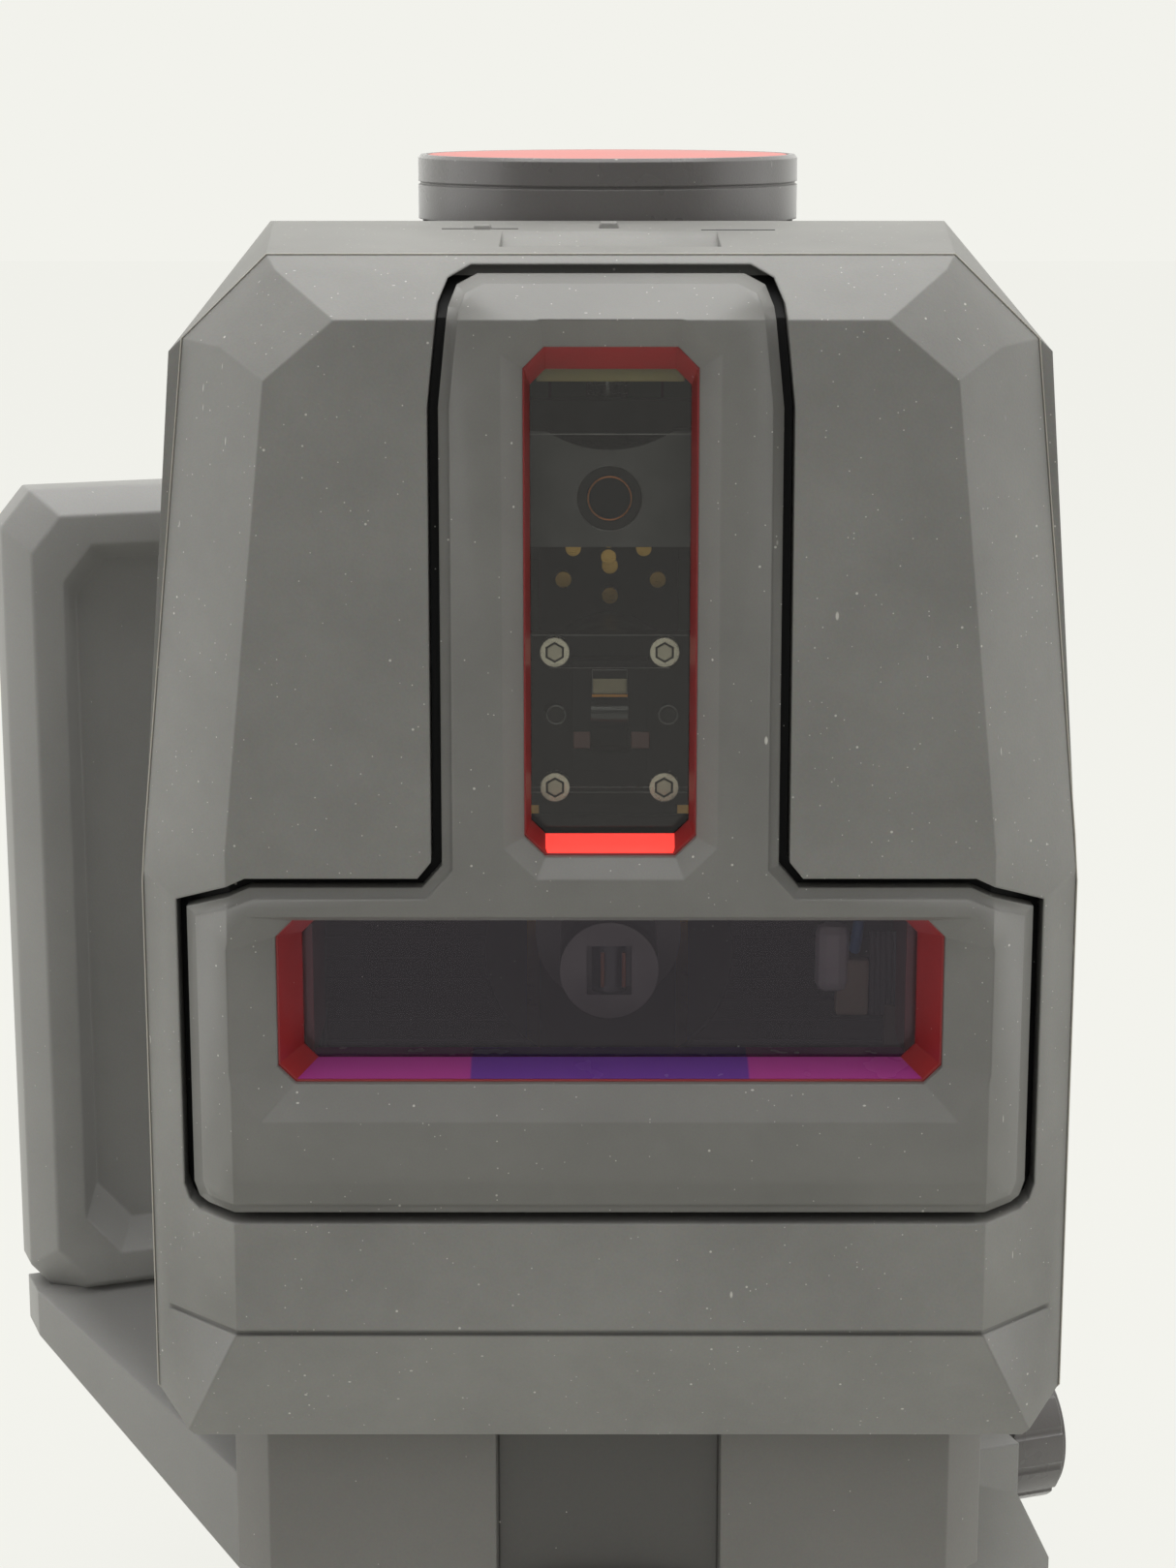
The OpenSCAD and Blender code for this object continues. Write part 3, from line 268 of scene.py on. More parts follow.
def moulded(name, base, rough, grain_mm=0.35, relief_mm=0.03, round_mm=0.5, dust=0.5, mottle=0.1,
            sheen=0.0):
    material, tree, shader, place = new_material(name)
    grain = add_node(tree, "TexNoise", Vector=place, Scale=1 / (grain_mm * MM), Detail=2.0,
                     Roughness=0.6)
    patches = add_node(tree, "TexNoise", Vector=place, Scale=PATCHES_PER_METRE, Detail=4.0,
                       Roughness=0.65)
    # Edges of small pieces: the shading normal turns over a small radius
    soft_edge = add_node(tree, "Bevel", {"samples": 6}, Radius=round_mm * MM)
    bump = add_node(tree, "Bump", Height=grain.outputs["Fac"], Strength=0.6,
                    Distance=relief_mm * MM, Normal=soft_edge.outputs["Normal"])
    base_colour = hex_colour(base)
    tone = add_node(tree, "ValToRGB", Fac=patches.outputs["Fac"])
    ends = tone.color_ramp.elements
    ends[0].position, ends[0].color = 0.3, scaled(base_colour, 1 - mottle)
    ends[1].position, ends[1].color = 0.7, scaled(base_colour, 1 + mottle)
    pebbled = add_node(tree, "Mix", {"data_type": "RGBA", "blend_type": "OVERLAY"}, _0=RUBBED,
                       _6=tone.outputs["Color"], _7=grain.outputs["Color"])
    fine = dust_layer(tree, place, FINE_DUST, dust)
    coarse = dust_layer(tree, place, COARSE_DUST, dust)
    fibre = dust_layer(tree, place, FIBRES, dust, FIBRE_STRETCH, FIBRE_TURN)
    grains = add_node(tree, "Math", LARGER, _0=fine, _1=coarse)
    lying = add_node(tree, "Math", LARGER, _0=grains.outputs["Value"], _1=fibre)
    share = add_node(tree, "Math", MULTIPLY, _0=lying.outputs["Value"], _1=DUST_COVER)
    dusty = add_node(tree, "Mix", COLOURS, _0=share.outputs["Value"], _6=pebbled.outputs[2],
                     _7=DUST_WHITE)
    spread = add_node(tree, "MapRange", Value=patches.outputs["Fac"],
                      To_Min=rough - ROUGH_SPREAD, To_Max=rough + ROUGH_SPREAD)
    set_sockets(shader, Base_Color=dusty.outputs[2], Roughness=spread.outputs["Result"],
                IOR=PLASTIC_IOR, Sheen_Weight=sheen, Normal=bump.outputs["Normal"])
    return material


print("size of a patch, mm:", round(1 / PATCHES_PER_METRE / MM))

# %% Rubber, ABS and nylon of the outside
# Overmoulded rubber: dull, pebbled, and it holds the dust
tpe_rubber_grey = moulded("tpe_rubber_grey", "#7b7a77", 0.5, dust=1.0)
# Fine-grained ABS: a little darker and smoother than the skin, so the bezel stands off
abs_bezel = moulded("abs_bezel_fine", "#71706d", 0.45, grain_mm=0.25, relief_mm=0.015,
                    round_mm=0.4, dust=0.8)
abs_lower = moulded("abs_lower_dark", "#716f6c", 0.5, dust=0.1, mottle=0.05)
# The panel set in the lower housing's front is nearly black beside it
panel_dark = moulded("abs_panel_dark", "#4d4b49", 0.5, dust=0.1, mottle=0.05)
# Glass-filled nylon: paler and a little glossier, as a stiff bracket is
nylon_bracket = moulded("glass_filled_nylon", "#868583", 0.45, grain_mm=0.3, dust=0.1, mottle=0.05)
dial_grey = moulded("dial_grey_abs", "#7b7a77", 0.45, grain_mm=0.25, relief_mm=0.012, dust=0.3)
# Soft grip: a sheen at its sides, where the fingers have polished it
knob_grip = moulded("knob_grip_tpe", "#5a5756", 0.28, round_mm=0.25, dust=0.3, sheen=0.5)
cap_red = moulded("cap_red_abs", "#c0605a", 0.35, grain_mm=0.25, relief_mm=0.008, dust=0.2)
# Foam and seals: they swallow the light, so a joint reads as a black line
soft_black = moulded("epdm_black", "#111112", 0.75, dust=0.3, round_mm=0.2)
button_rubber = moulded("silicone_key", "#3c3c3e", 0.6, round_mm=0.6, dust=0.2)
battery_abs = moulded("battery_abs", "#2e2e31", 0.48, dust=0.2)
print("moulded materials:", len(bpy.data.materials))

# %% Plastics of the hood and the works
# Polycarbonate of the hood: a clean, deep red; the glow at the vertical window's lip is painted
hood_red = moulded("hood_red_pc", "#942a2b", 0.3, grain_mm=0.25, relief_mm=0.006, round_mm=0.25,
                   dust=0.1)
# Flocked wall: no highlight at all, so that no stray light leaves the window
baffle_black = moulded("flocked_black", "#0a0a0b", 0.9, relief_mm=0.004, round_mm=0.2, dust=0.1,
                       mottle=0.3)
nylon_natural = moulded("nylon_natural", "#8f8a7e", 0.5, round_mm=0.2, dust=0.0)
acetal_white = moulded("acetal_white", "#d8d4c8", 0.4, round_mm=0.2, dust=0.0)
print("moulded materials:", len(bpy.data.materials))

# %% [markdown]
# ## Metals
# Turned brass, ground steel and anodised aluminium differ in colour and in the marks that the
# last machine left. A metal's own colour is its reflection, so Metallic is 1, and fine lines
# along the surface spread the highlight one way. Blasted and anodised parts have no lines, so
# their marks are as wide as they are long.

# %% Function for metals
LINE_RATIO = 12             # a tool mark is drawn twelve times as long as it is wide
LINES, EVEN = (1, 1, LINE_RATIO), (1, 1, 1)
STAINS_PER_METRE = 180.0    # stains of about 5 mm
STAIN_DARK = 0.8
MARK_SPREAD = 0.08          # how far the roughness goes up and down with the marks


def metal(name, base, rough, mark_mm=0.15, stretch=LINES, depth_mm=0.006, round_mm=0.15):
    material, tree, shader, place = new_material(name)
    lined = add_node(tree, "Mapping", Vector=place, Scale=stretch)
    marks = add_node(tree, "TexNoise", Vector=lined.outputs["Vector"],
                     Scale=1 / (mark_mm * MM * LINE_RATIO), Detail=3.0)
    stains = add_node(tree, "TexNoise", Vector=place, Scale=STAINS_PER_METRE, Detail=3.0)
    soft_edge = add_node(tree, "Bevel", {"samples": 4}, Radius=round_mm * MM)
    bump = add_node(tree, "Bump", Height=marks.outputs["Fac"], Strength=0.5,
                    Distance=depth_mm * MM, Normal=soft_edge.outputs["Normal"])
    base_colour = hex_colour(base)
    tone = add_node(tree, "ValToRGB", Fac=stains.outputs["Fac"])
    ends = tone.color_ramp.elements
    ends[0].position, ends[0].color = 0.3, scaled(base_colour, STAIN_DARK)
    ends[1].position, ends[1].color = 0.65, base_colour
    spread = add_node(tree, "MapRange", Value=marks.outputs["Fac"], To_Min=rough - MARK_SPREAD,
                      To_Max=rough + MARK_SPREAD)
    set_sockets(shader, Base_Color=tone.outputs["Color"], Metallic=1.0,
                Roughness=spread.outputs["Result"], Normal=bump.outputs["Normal"])
    return material


print("size of a stain, mm:", round(1 / STAINS_PER_METRE / MM, 1))

# %% The metals of the level
turned_brass = metal("turned_brass", "#c9a35a", 0.3)
sintered_bronze = metal("sintered_bronze", "#b08a55", 0.5, mark_mm=0.3, stretch=EVEN)
ground_steel = metal("ground_steel", "#c4c6c8", 0.25)
# Black oxide dulls a screw and turns it brown-grey
oxide_steel = metal("oxide_steel", "#6f6c66", 0.38)
# Anodised aluminium: an even, satin colour without lines
anodised_black = metal("anodised_black", "#18181a", 0.45, mark_mm=0.2, stretch=EVEN,
                       depth_mm=0.001)
anodised_grey = metal("anodised_grey", "#5c5c5e", 0.5, mark_mm=0.2, stretch=EVEN, depth_mm=0.001)
blasted_grey = metal("blasted_aluminium", "#8d8e8e", 0.55, mark_mm=0.2, stretch=EVEN,
                     depth_mm=0.002)
lathe_dark = metal("lathe_dark", "#5f5d5b", 0.4, mark_mm=0.2, stretch=EVEN, depth_mm=0.001)
# Stainless screw heads: the brightest things behind the glass
stainless_socket = metal("stainless_socket", "#c3bcb0", 0.26, mark_mm=0.1, stretch=EVEN,
                         depth_mm=0.002)
turned_copper = metal("turned_copper", "#c07a4e", 0.3)
nickel_plate = metal("nickel_plate", "#cfd0d0", 0.18, mark_mm=0.4)
print("materials so far:", len(bpy.data.materials))

# %% [markdown]
# ## Window glass
# The windows are float glass with a thin coating. A solid glass shader would bend the view of the
# things behind, which the thin real pane hardly does, and it is slow. So the pane is clear,
# tinted a little, with a mirror laid over it that grows stronger at a slant, as on real glass.

# %% Coated glass
GLASS_IOR = 1.52
MIRROR_SHARE = 0.8    # the coating takes a fifth off the bare glass's reflection
SMEAR_HAZE = 0.03
SMEARS_PER_METRE = 90.0    # wiping marks of about 11 mm


def coated_glass(name, tint, film):
    """Clear glass with a weak coloured mirror on it, which leaves what is behind in view."""
    material, tree, shader, place = new_material(name)
    tree.nodes.remove(shader)
    smear = add_node(tree, "TexNoise", Vector=place, Scale=SMEARS_PER_METRE, Detail=3.0)
    haze = add_node(tree, "MapRange", Value=smear.outputs["Fac"], To_Min=0.0, To_Max=SMEAR_HAZE)
    clear = add_node(tree, "BsdfTransparent", Color=hex_colour(tint))
    gloss = add_node(tree, "BsdfGlossy", Color=hex_colour(film),
                     Roughness=haze.outputs["Result"])
    facing = add_node(tree, "Fresnel", IOR=GLASS_IOR)
    share = add_node(tree, "Math", MULTIPLY, _0=facing.outputs["Fac"], _1=MIRROR_SHARE)
    both = add_node(tree, "MixShader", _0=share.outputs["Value"], _1=clear.outputs["BSDF"],
                    _2=gloss.outputs["BSDF"])
    set_sockets(tree.nodes["Material Output"], Surface=both.outputs["Shader"])
    return material


window_glass = coated_glass("float_glass_clear", "#f4f5f2", "#f3eff0")
violet_glass = coated_glass("float_glass_violet", "#e9e6ea", "#ebe4ee")
print("panes: 2")

# %% [markdown]
# ## Lens glass and the board
# The fan rods and the prism are ground from a block of clear optical glass. They are thick, so
# they use real transmission, with a little surface colour left for the dark that they show from
# behind. The circuit board is fibreglass under green lacquer, and its tracks show as slightly
# darker lines.

# %% Lens glass and solder mask
CLEARNESS = 0.75
SWIRL_SIZE = 2.5 * MM
TRACK_SPACING = 12 * MM


def lens_glass(name, tint):
    material, tree, shader, place = new_material(name)
    swirl = add_node(tree, "TexNoise", Vector=place, Scale=1 / SWIRL_SIZE)
    clean = add_node(tree, "MapRange", Value=swirl.outputs["Fac"], To_Min=0.02, To_Max=0.08)
    set_sockets(shader, Base_Color=hex_colour(tint), Roughness=clean.outputs["Result"],
                Transmission_Weight=CLEARNESS, IOR=GLASS_IOR)
    return material


def solder_mask():
    material, tree, shader, place = new_material("solder_mask_green")
    tracks = add_node(tree, "TexBrick", Vector=place, Scale=1 / TRACK_SPACING,
                      Color1=hex_colour("#1f5a38"), Color2=hex_colour("#24683f"),
                      Mortar=hex_colour("#17462b"))
    set_sockets(shader, Base_Color=tracks.outputs["Color"], Roughness=0.3)
    return material


bk7_rod = lens_glass("bk7_rod", "#1c2230")
lens_clear = lens_glass("bk7_prism", "#e9dcb8")
board_green = solder_mask()
print("materials so far:", len(bpy.data.materials))

# %% [markdown]
# ## Finishes of the CAD pieces
# Each CAD node keeps its shape and gets one of the materials above. One table holds them all, so
# that a node without a finish is found at once.

# %% Assign the materials
FINISHES = {
    "front_shell": tpe_rubber_grey, "rear_housing": tpe_rubber_grey, "window_bezel": abs_bezel,
    "bezel_gasket": soft_black, "optics_hood": hood_red, "vertical_glass": window_glass,
    "horizontal_glass": violet_glass, "light_baffle": baffle_black, "index_ring": dial_grey,
    "lower_housing": abs_lower, "turntable": blasted_grey, "crown_gear": turned_brass,
    "swivel_spindle": ground_steel, "spindle_clip": oxide_steel, "gimbal_chassis": anodised_grey,
    "gimbal_bearings": anodised_black, "damper_magnets": nickel_plate,
    "circuit_board": board_green, "flex_connector": nylon_natural,
    "battery_contacts": turned_brass, "housing_screws": oxide_steel,
    "lock_knob_ring": knob_grip, "lock_knob_cap": cap_red, "lock_knob_shaft": ground_steel,
    "lock_pin": ground_steel, "gimbal_ring": anodised_black, "pendulum_frame": anodised_black,
    "vertical_module": anodised_black, "horizontal_module": lathe_dark,
    "vertical_fan_rod": bk7_rod, "horizontal_fan_rod": bk7_rod,
    "module_screws": stainless_socket, "damper_plate": turned_copper,
    "balance_weight": turned_brass, "button_left": button_rubber, "button_middle": button_rubber,
    "button_right": button_rubber, "battery_pack": battery_abs, "battery_grip": soft_black,
    "wall_tray": nylon_bracket, "base_shell": nylon_bracket, "base_cover": battery_abs,
    "foot_pad": soft_black, "tripod_insert": turned_brass, "quarter_inch_insert": turned_brass,
    "wall_magnets": nickel_plate, "wall_pads": soft_black, "swivel_bush": sintered_bronze,
    "thrust_washer": acetal_white, "shaft_bush": sintered_bronze, "base_screws": oxide_steel,
    "bracket_arm": nylon_bracket, "fine_knob": knob_grip, "fine_shaft": ground_steel,
    "fine_pinion": turned_brass,
}
for name, material in FINISHES.items():
    mesh = nodes[name].data
    mesh.materials.clear()
    mesh.materials.append(material)
print("nodes without a finish:", sorted(set(nodes) - set(FINISHES)))

# %% [markdown]
# ## Brass among the steel screws
# One node holds all the screws of the pendulum. The four in the front plate are stainless, and
# the four far behind them are brass. A second material on the same mesh keeps the node whole:
# faces behind a set depth take the brass.

# %% Brass faces of the screws
BRASS_FROM_Y = -25 * MM
screws = nodes["module_screws"].data
screws.materials.append(turned_brass)
for face in screws.polygons:
    face.material_index = 1 if face.center.y > BRASS_FROM_Y else 0
print("brass screw faces:", sum(face.material_index for face in screws.polygons))

# %% [markdown]
# ## Soft edges of the big mouldings
# The rubber skin has edges rounded to about 2 mm, which the CAD model leaves sharp. A bevel in
# the shading would show on the faces but not in the outline. So each big moulding is copied, its
# flat faces are joined again, and the edges of its outer form are bevelled in the mesh. The outer
# form is convex, so an outer edge is one whose two faces both lie on the convex hull. Edges of
# grooves and openings are left to the shading.

# %% Function that rounds the outer edges of a CAD node
ON_HULL = 0.25 * MM      # how far from the hull a face still counts as outer
SAME_WAY = 0.98          # and how nearly its normal must agree
LEAST_TURN = 9.0         # degrees; flatter edges stay as they are
SHORTEST_EDGE = 1.5      # in widths of the bevel
ROUND_STEPS = 4
SHARP_FROM = 24          # degrees


def smooth_by_angle(mesh, degrees):
    for polygon in mesh.polygons:
        polygon.use_smooth = True
    mesh.set_sharp_from_angle(angle=math.radians(degrees))


def hull_of(mesh):
    """A search tree over the convex hull of a mesh."""
    shape = bmesh.new()
    shape.from_mesh(mesh)
    bmesh.ops.convex_hull(shape, input=shape.verts)
    tree = BVHTree.FromBMesh(shape)
    shape.free()
    return tree


def rounded(node, body, width_mm):
    source = nodes[node]
    hull = hull_of(source.data)
    shape = bmesh.new()
    shape.from_mesh(source.data)
    bmesh.ops.remove_doubles(shape, verts=shape.verts, dist=1e-6)
    bmesh.ops.dissolve_limit(shape, angle_limit=math.radians(1.0), verts=shape.verts,
                             edges=shape.edges)

    def is_outer(face):
        middle = face.calc_center_median()
        place, normal = hull.find_nearest(middle)[:2]
        return (place - middle).length < ON_HULL and abs(normal.dot(face.normal)) > SAME_WAY

    outer = {face for face in shape.faces if is_outer(face)}
    sharp = [edge for edge in shape.edges
             if len(edge.link_faces) == 2 and edge.calc_length() > SHORTEST_EDGE * width_mm * MM
             and all(face in outer for face in edge.link_faces)
             and math.degrees(edge.calc_face_angle(0.0)) > LEAST_TURN]
    bmesh.ops.bevel(shape, geom=sharp, offset=width_mm * MM, offset_type="OFFSET",
                    segments=ROUND_STEPS, profile=0.5, affect="EDGES", clamp_overlap=True)
    mesh = bpy.data.meshes.new(node + "_soft")
    bmesh.ops.triangulate(shape, faces=[face for face in shape.faces if len(face.verts) > 4])
    shape.to_mesh(mesh)
    shape.free()
    mesh.materials.append(source.data.materials[0])
    mesh.validate()
    piece = bpy.data.objects.new(node + "_soft", mesh)
    bpy.context.scene.collection.objects.link(piece)
    smooth_by_angle(mesh, SHARP_FROM)
    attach(piece, body)
    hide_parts(node)
    print(node, "outer edges rounded:", len(sharp))


# %% Round the mouldings
rounded("front_shell", "laser", 1.4)
rounded("rear_housing", "laser", 2.0)
rounded("window_bezel", "laser", 0.8)
rounded("lower_housing", "laser", 1.0)
rounded("wall_tray", "bracket", 0.8)
rounded("bracket_arm", "bracket", 1.0)
rounded("base_shell", "bracket", 0.6)

# %% [markdown]
# ## Makers of small pieces
# The pendulum hangs behind the glass, and its wires, seals and lens parts give the dark inside
# its colour. Five functions make them: a block with a real bevel, so that each edge catches a
# thin line of light, a disc, a film on a slope, a ring, and a lead along a curve. Each piece
# rides on the body that carries it, and takes its material in a slot of its own mesh.

# %% Finish a piece, and make a block
def finish_piece(name, data, material, body):
    data.materials.append(material)
    piece = bpy.data.objects.new(name, data)
    bpy.context.scene.collection.objects.link(piece)
    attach(piece, body)


def mesh_of(name, shape):
    """A mesh from a bmesh, which is then let go."""
    mesh = bpy.data.meshes.new(name)
    shape.to_mesh(mesh)
    shape.free()
    return mesh


def block_piece(name, low_mm, high_mm, material, body, edge_mm=0.15):
    shape = bmesh.new()
    bmesh.ops.create_cube(shape, size=1.0)
    low, high = Vector(low_mm), Vector(high_mm)
    for corner in shape.verts:
        corner.co = Vector([MM * (low[i] if corner.co[i] < 0 else high[i]) for i in range(3)])
    bmesh.ops.bevel(shape, geom=shape.edges[:], offset=edge_mm * MM, segments=2, profile=0.5,
                    affect="EDGES")
    finish_piece(name, mesh_of(name, shape), material, body)


print("maker: block")

# %% Make a disc or a film
def disc_piece(name, centre_mm, radius_mm, thick_mm, material, body, sides=32):
    """A short cylinder, or a prism with few sides, along the Y axis."""
    shape = bmesh.new()
    bmesh.ops.create_cone(shape, cap_ends=True, segments=sides, radius1=radius_mm * MM,
                          radius2=radius_mm * MM, depth=thick_mm * MM)
    shape.transform(Matrix.Translation(Vector(centre_mm) * MM)
                    @ Matrix.Rotation(math.pi / 2, 4, "X"))
    finish_piece(name, mesh_of(name, shape), material, body)


FILM_LOW, FILM_HIGH = 0.03, 0.1
BOX_FACES = [(0, 1, 2, 3), (7, 6, 5, 4), (0, 4, 5, 1), (1, 5, 6, 2), (2, 6, 7, 3), (3, 7, 4, 0)]


def slope_piece(name, back_mm, front_mm, material, body):
    """A film on a sill that falls to the front. Each end is half its width, its Y and its Z."""
    ends = ((back_mm, -1), (back_mm, 1), (front_mm, 1), (front_mm, -1))
    corners = [(side * x * MM, y * MM, (z + lift) * MM) for lift in (FILM_LOW, FILM_HIGH)
               for (x, y, z), side in ends]
    mesh = bpy.data.meshes.new(name)
    mesh.from_pydata(corners, [], BOX_FACES)
    finish_piece(name, mesh, material, body)


print("makers: disc and film, thickness of a film, mm:", round(FILM_HIGH - FILM_LOW, 2))

# %% Make a ring
RING_TURNS, RING_SIDES, RING_SHARP = 48, 8, 60


def ring_piece(name, centre_mm, radii_mm, material, body, flat=1.0):
    """A ring round the Y axis. Its section is round, or flatter along Y."""
    shape = bmesh.new()
    centre = Vector(centre_mm) * MM
    major, minor = (MM * r for r in radii_mm)
    rows = []
    for i in range(RING_TURNS):
        a = 2 * math.pi * i / RING_TURNS
        row = []
        for j in range(RING_SIDES):
            b = 2 * math.pi * j / RING_SIDES
            reach = major + minor * math.cos(b)
            row.append(shape.verts.new((centre.x + reach * math.cos(a),
                                        centre.y + flat * minor * math.sin(b),
                                        centre.z + reach * math.sin(a))))
        rows.append(row)
    for i in range(RING_TURNS):
        for j in range(RING_SIDES):
            k, m = (i + 1) % RING_TURNS, (j + 1) % RING_SIDES
            shape.faces.new((rows[i][j], rows[i][m], rows[k][m], rows[k][j]))
    bmesh.ops.recalc_face_normals(shape, faces=shape.faces)
    mesh = mesh_of(name, shape)
    smooth_by_angle(mesh, RING_SHARP)
    finish_piece(name, mesh, material, body)


print("maker: ring, corners in one:", RING_TURNS * RING_SIDES)

# %% Make a lead
def lead_piece(name, points_mm, radius_mm, material, body):
    """A lead along a smooth curve."""
    curve = bpy.data.curves.new(name, "CURVE")
    curve.dimensions = "3D"
    spline = curve.splines.new("NURBS")
    spline.points.add(len(points_mm) - 1)
    for point, place in zip(spline.points, points_mm):
        point.co = (*(MM * v for v in place), 1)
    spline.use_endpoint_u = True
    spline.order_u = 3
    curve.bevel_depth = radius_mm * MM
    curve.resolution_u = 6
    curve.use_fill_caps = True
    finish_piece(name, curve, material, body)


print("maker: lead")

# %% [markdown]
# ## Coloured sills under the windows
# Where the glass meets the hood, the sill carries a painted reflection of the glass's coating:
# violet in the middle of the horizontal window, and magenta at both ends, where the sill's own
# red is mixed with it. A real coating would need its thin film drawn, so the two colours are set
# by distance from the middle. The lower lip of the vertical window is red with a painted glow: it
# shines a little by itself, most at its front edge, which is simpler than a lamp in the hood.

# %% Painted reflections and glow of the sills
VIOLET_TO, MAGENTA_FROM = 18.4 * MM, 18.7 * MM
HAZE_SIZE = 5 * MM
LIP_FRONT, LIP_BACK = -55.4 * MM, -53.0 * MM


def make_sill_reflection():
    """Painted reflection of the coating: magenta at both ends, with the sill's red, violet
    between.
    """
    material, tree, shader, place = new_material("sill_painted_reflection")
    along = add_node(tree, "SeparateXYZ", Vector=place)
    away = add_node(tree, "Math", {"operation": "ABSOLUTE"}, _0=along.outputs["X"])
    share = add_node(tree, "MapRange", Value=away.outputs["Value"], From_Min=VIOLET_TO,
                     From_Max=MAGENTA_FROM)
    tint = add_node(tree, "Mix", COLOURS, _0=share.outputs["Result"], _6=hex_colour("#64388e"),
                    _7=hex_colour("#a03c88"))
    haze = add_node(tree, "TexNoise", Vector=place, Scale=1 / HAZE_SIZE)
    rough = add_node(tree, "MapRange", Value=haze.outputs["Fac"], To_Min=0.15, To_Max=0.35)
    set_sockets(shader, Base_Color=tint.outputs[2], Roughness=rough.outputs["Result"])
    return material


def make_red_glow():
    """Red lip with a painted glow: it shines a little by itself, most at its front edge."""
    material, tree, shader, place = new_material("red_lip_painted_glow")
    depth = add_node(tree, "SeparateXYZ", Vector=place)
    # The painted glow is strongest at the lip's front edge
    edge = add_node(tree, "MapRange", Value=depth.outputs["Y"], From_Min=LIP_FRONT,
                    From_Max=LIP_BACK, To_Min=1.0, To_Max=0.8)
    set_sockets(shader, Base_Color=hex_colour("#f2453c"), Roughness=0.3,
                Emission_Color=hex_colour("#ff4038"), Emission_Strength=edge.outputs["Result"])
    return material


sill_painted_reflection = make_sill_reflection()
lip_painted_glow = make_red_glow()
# Top edge of the vertical glass: the coating's pale gold tint, brightened as a painted highlight
# where the edge catches the light from above
glass_edge_highlight = moulded("glass_edge_painted_highlight", "#a89b62", 0.2, relief_mm=0.004, dust=0.0, round_mm=0.1)
print("materials so far:", len(bpy.data.materials))

# %% Sills and edges of the glass
glass_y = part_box("vertical_glass")[1][1] / MM
sill_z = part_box("horizontal_glass")[0][2] / MM + 1.5
# Lit top edge of the vertical glass, a painted highlight
block_piece("glass_top_edge", (-9.6, glass_y + 0.1, 217.2), (9.6, glass_y + 0.6, 219.1),
            glass_edge_highlight, "laser")
# Painted reflection of the coating on the sill under the horizontal glass
block_piece("sill_coating", (-41.8, glass_y + 0.9, sill_z - 0.1),
            (41.8, glass_y + 4.2, sill_z + 0.1), sill_painted_reflection, "laser",
            edge_mm=0.05)
# The sloping band under the horizontal window carries the same painted reflection
slope_piece("sill_band", (41.5, -50.05, 126.8), (43.2, -55.3, 125.45), sill_painted_reflection, "laser")
# The vertical window's lower lip, with a painted red glow
slope_piece("sill_slit", (9.3, -50.05, 157.72), (8.2, -55.4, 156.45), lip_painted_glow, "laser")
print("sills and edges: 4")

# %% [markdown]
# ## Dark panel of the lower housing
# A darker panel is set in the recess of the lower housing's front. The recess is in the CAD
# model, so a thin plate on its floor is enough to carry the second colour.

# %% Panel in the recess
PANEL_HALF, PANEL_TOP = 15.7, 67.5
panel_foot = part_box("lower_housing")[0][2] / MM + 0.4
block_piece("recess_panel", (-PANEL_HALF, -37.6, panel_foot), (PANEL_HALF, -37.35, PANEL_TOP),
            panel_dark, "laser", edge_mm=0.1)
print("panel height, mm:", round(PANEL_TOP - panel_foot, 1))

# %% [markdown]
# ## Gimbal bearing behind the vertical window
# The dark grey plate at the top of the window carries a ball bearing: a copper race in a hole,
# whose dark is a black ring of painted shade. Its outer rim is a machined edge that catches the
# light, and so does the plate's upper edge. They are too thin for the CAD model, so thin rings and
# one strip lie on the plate.

# %% Bearing rings and the plate's bright edge
black_steel = metal("blackened_steel", "#7c7c7e", 0.3)
bar_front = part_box("gimbal_bearings")[0][1] / MM
pivot_z = (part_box("gimbal_ring")[0][2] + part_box("gimbal_ring")[1][2]) / 2 / MM
ring_piece("bearing_race", (0, bar_front - 0.05, pivot_z), (2.9, 0.14), turned_copper, "laser")
# Black ring round the race: painted shade in the bearing's hole
ring_piece("bearing_seat", (0, bar_front - 0.02, pivot_z), (3.7, 0.66), soft_black, "laser",
           0.1)
ring_piece("bearing_edge", (0, bar_front - 0.02, pivot_z), (4.4, 0.07), black_steel, "laser")
block_piece("bar_edge", (-12.5, bar_front - 0.12, pivot_z + 8.5),
            (12.5, bar_front - 0.02, pivot_z + 8.7), black_steel, "laser",
            edge_mm=0.03)
print("pivot above the floor, mm:", round(pivot_z, 1))

# %% [markdown]
# ## Front of the vertical-line module
# The black plate holds the fan rod under a small glass prism, and an orange line at the prism's
# foot is a painted highlight. Four socket screws hold it: each is a dark hexagon of painted shade
# with a smaller pale one on it, a painted reflection on its floor. Beside the rod, two blind holes
# have a floor of painted shade, and two dark red wings are painted reflections. They are thin
# pieces laid on the plate, and are placed from the rod's own middle, so that they stay with the
# CAD model. Farther back, four small brass screws show over the plate. They trim the pendulum, so
# that it hangs plumb.

# %% Trim screws, prism and its painted highlight
TRIM_SCREWS = [(-6.4, 185.9), (0.2, 187.9), (0.2, 183.6), (7.0, 185.9)]
for i, (x, z) in enumerate(TRIM_SCREWS):
    disc_piece(f"trim_screw_{i}", (x, -12.6, z), 1.15, 1.2, turned_brass, "pendulum")

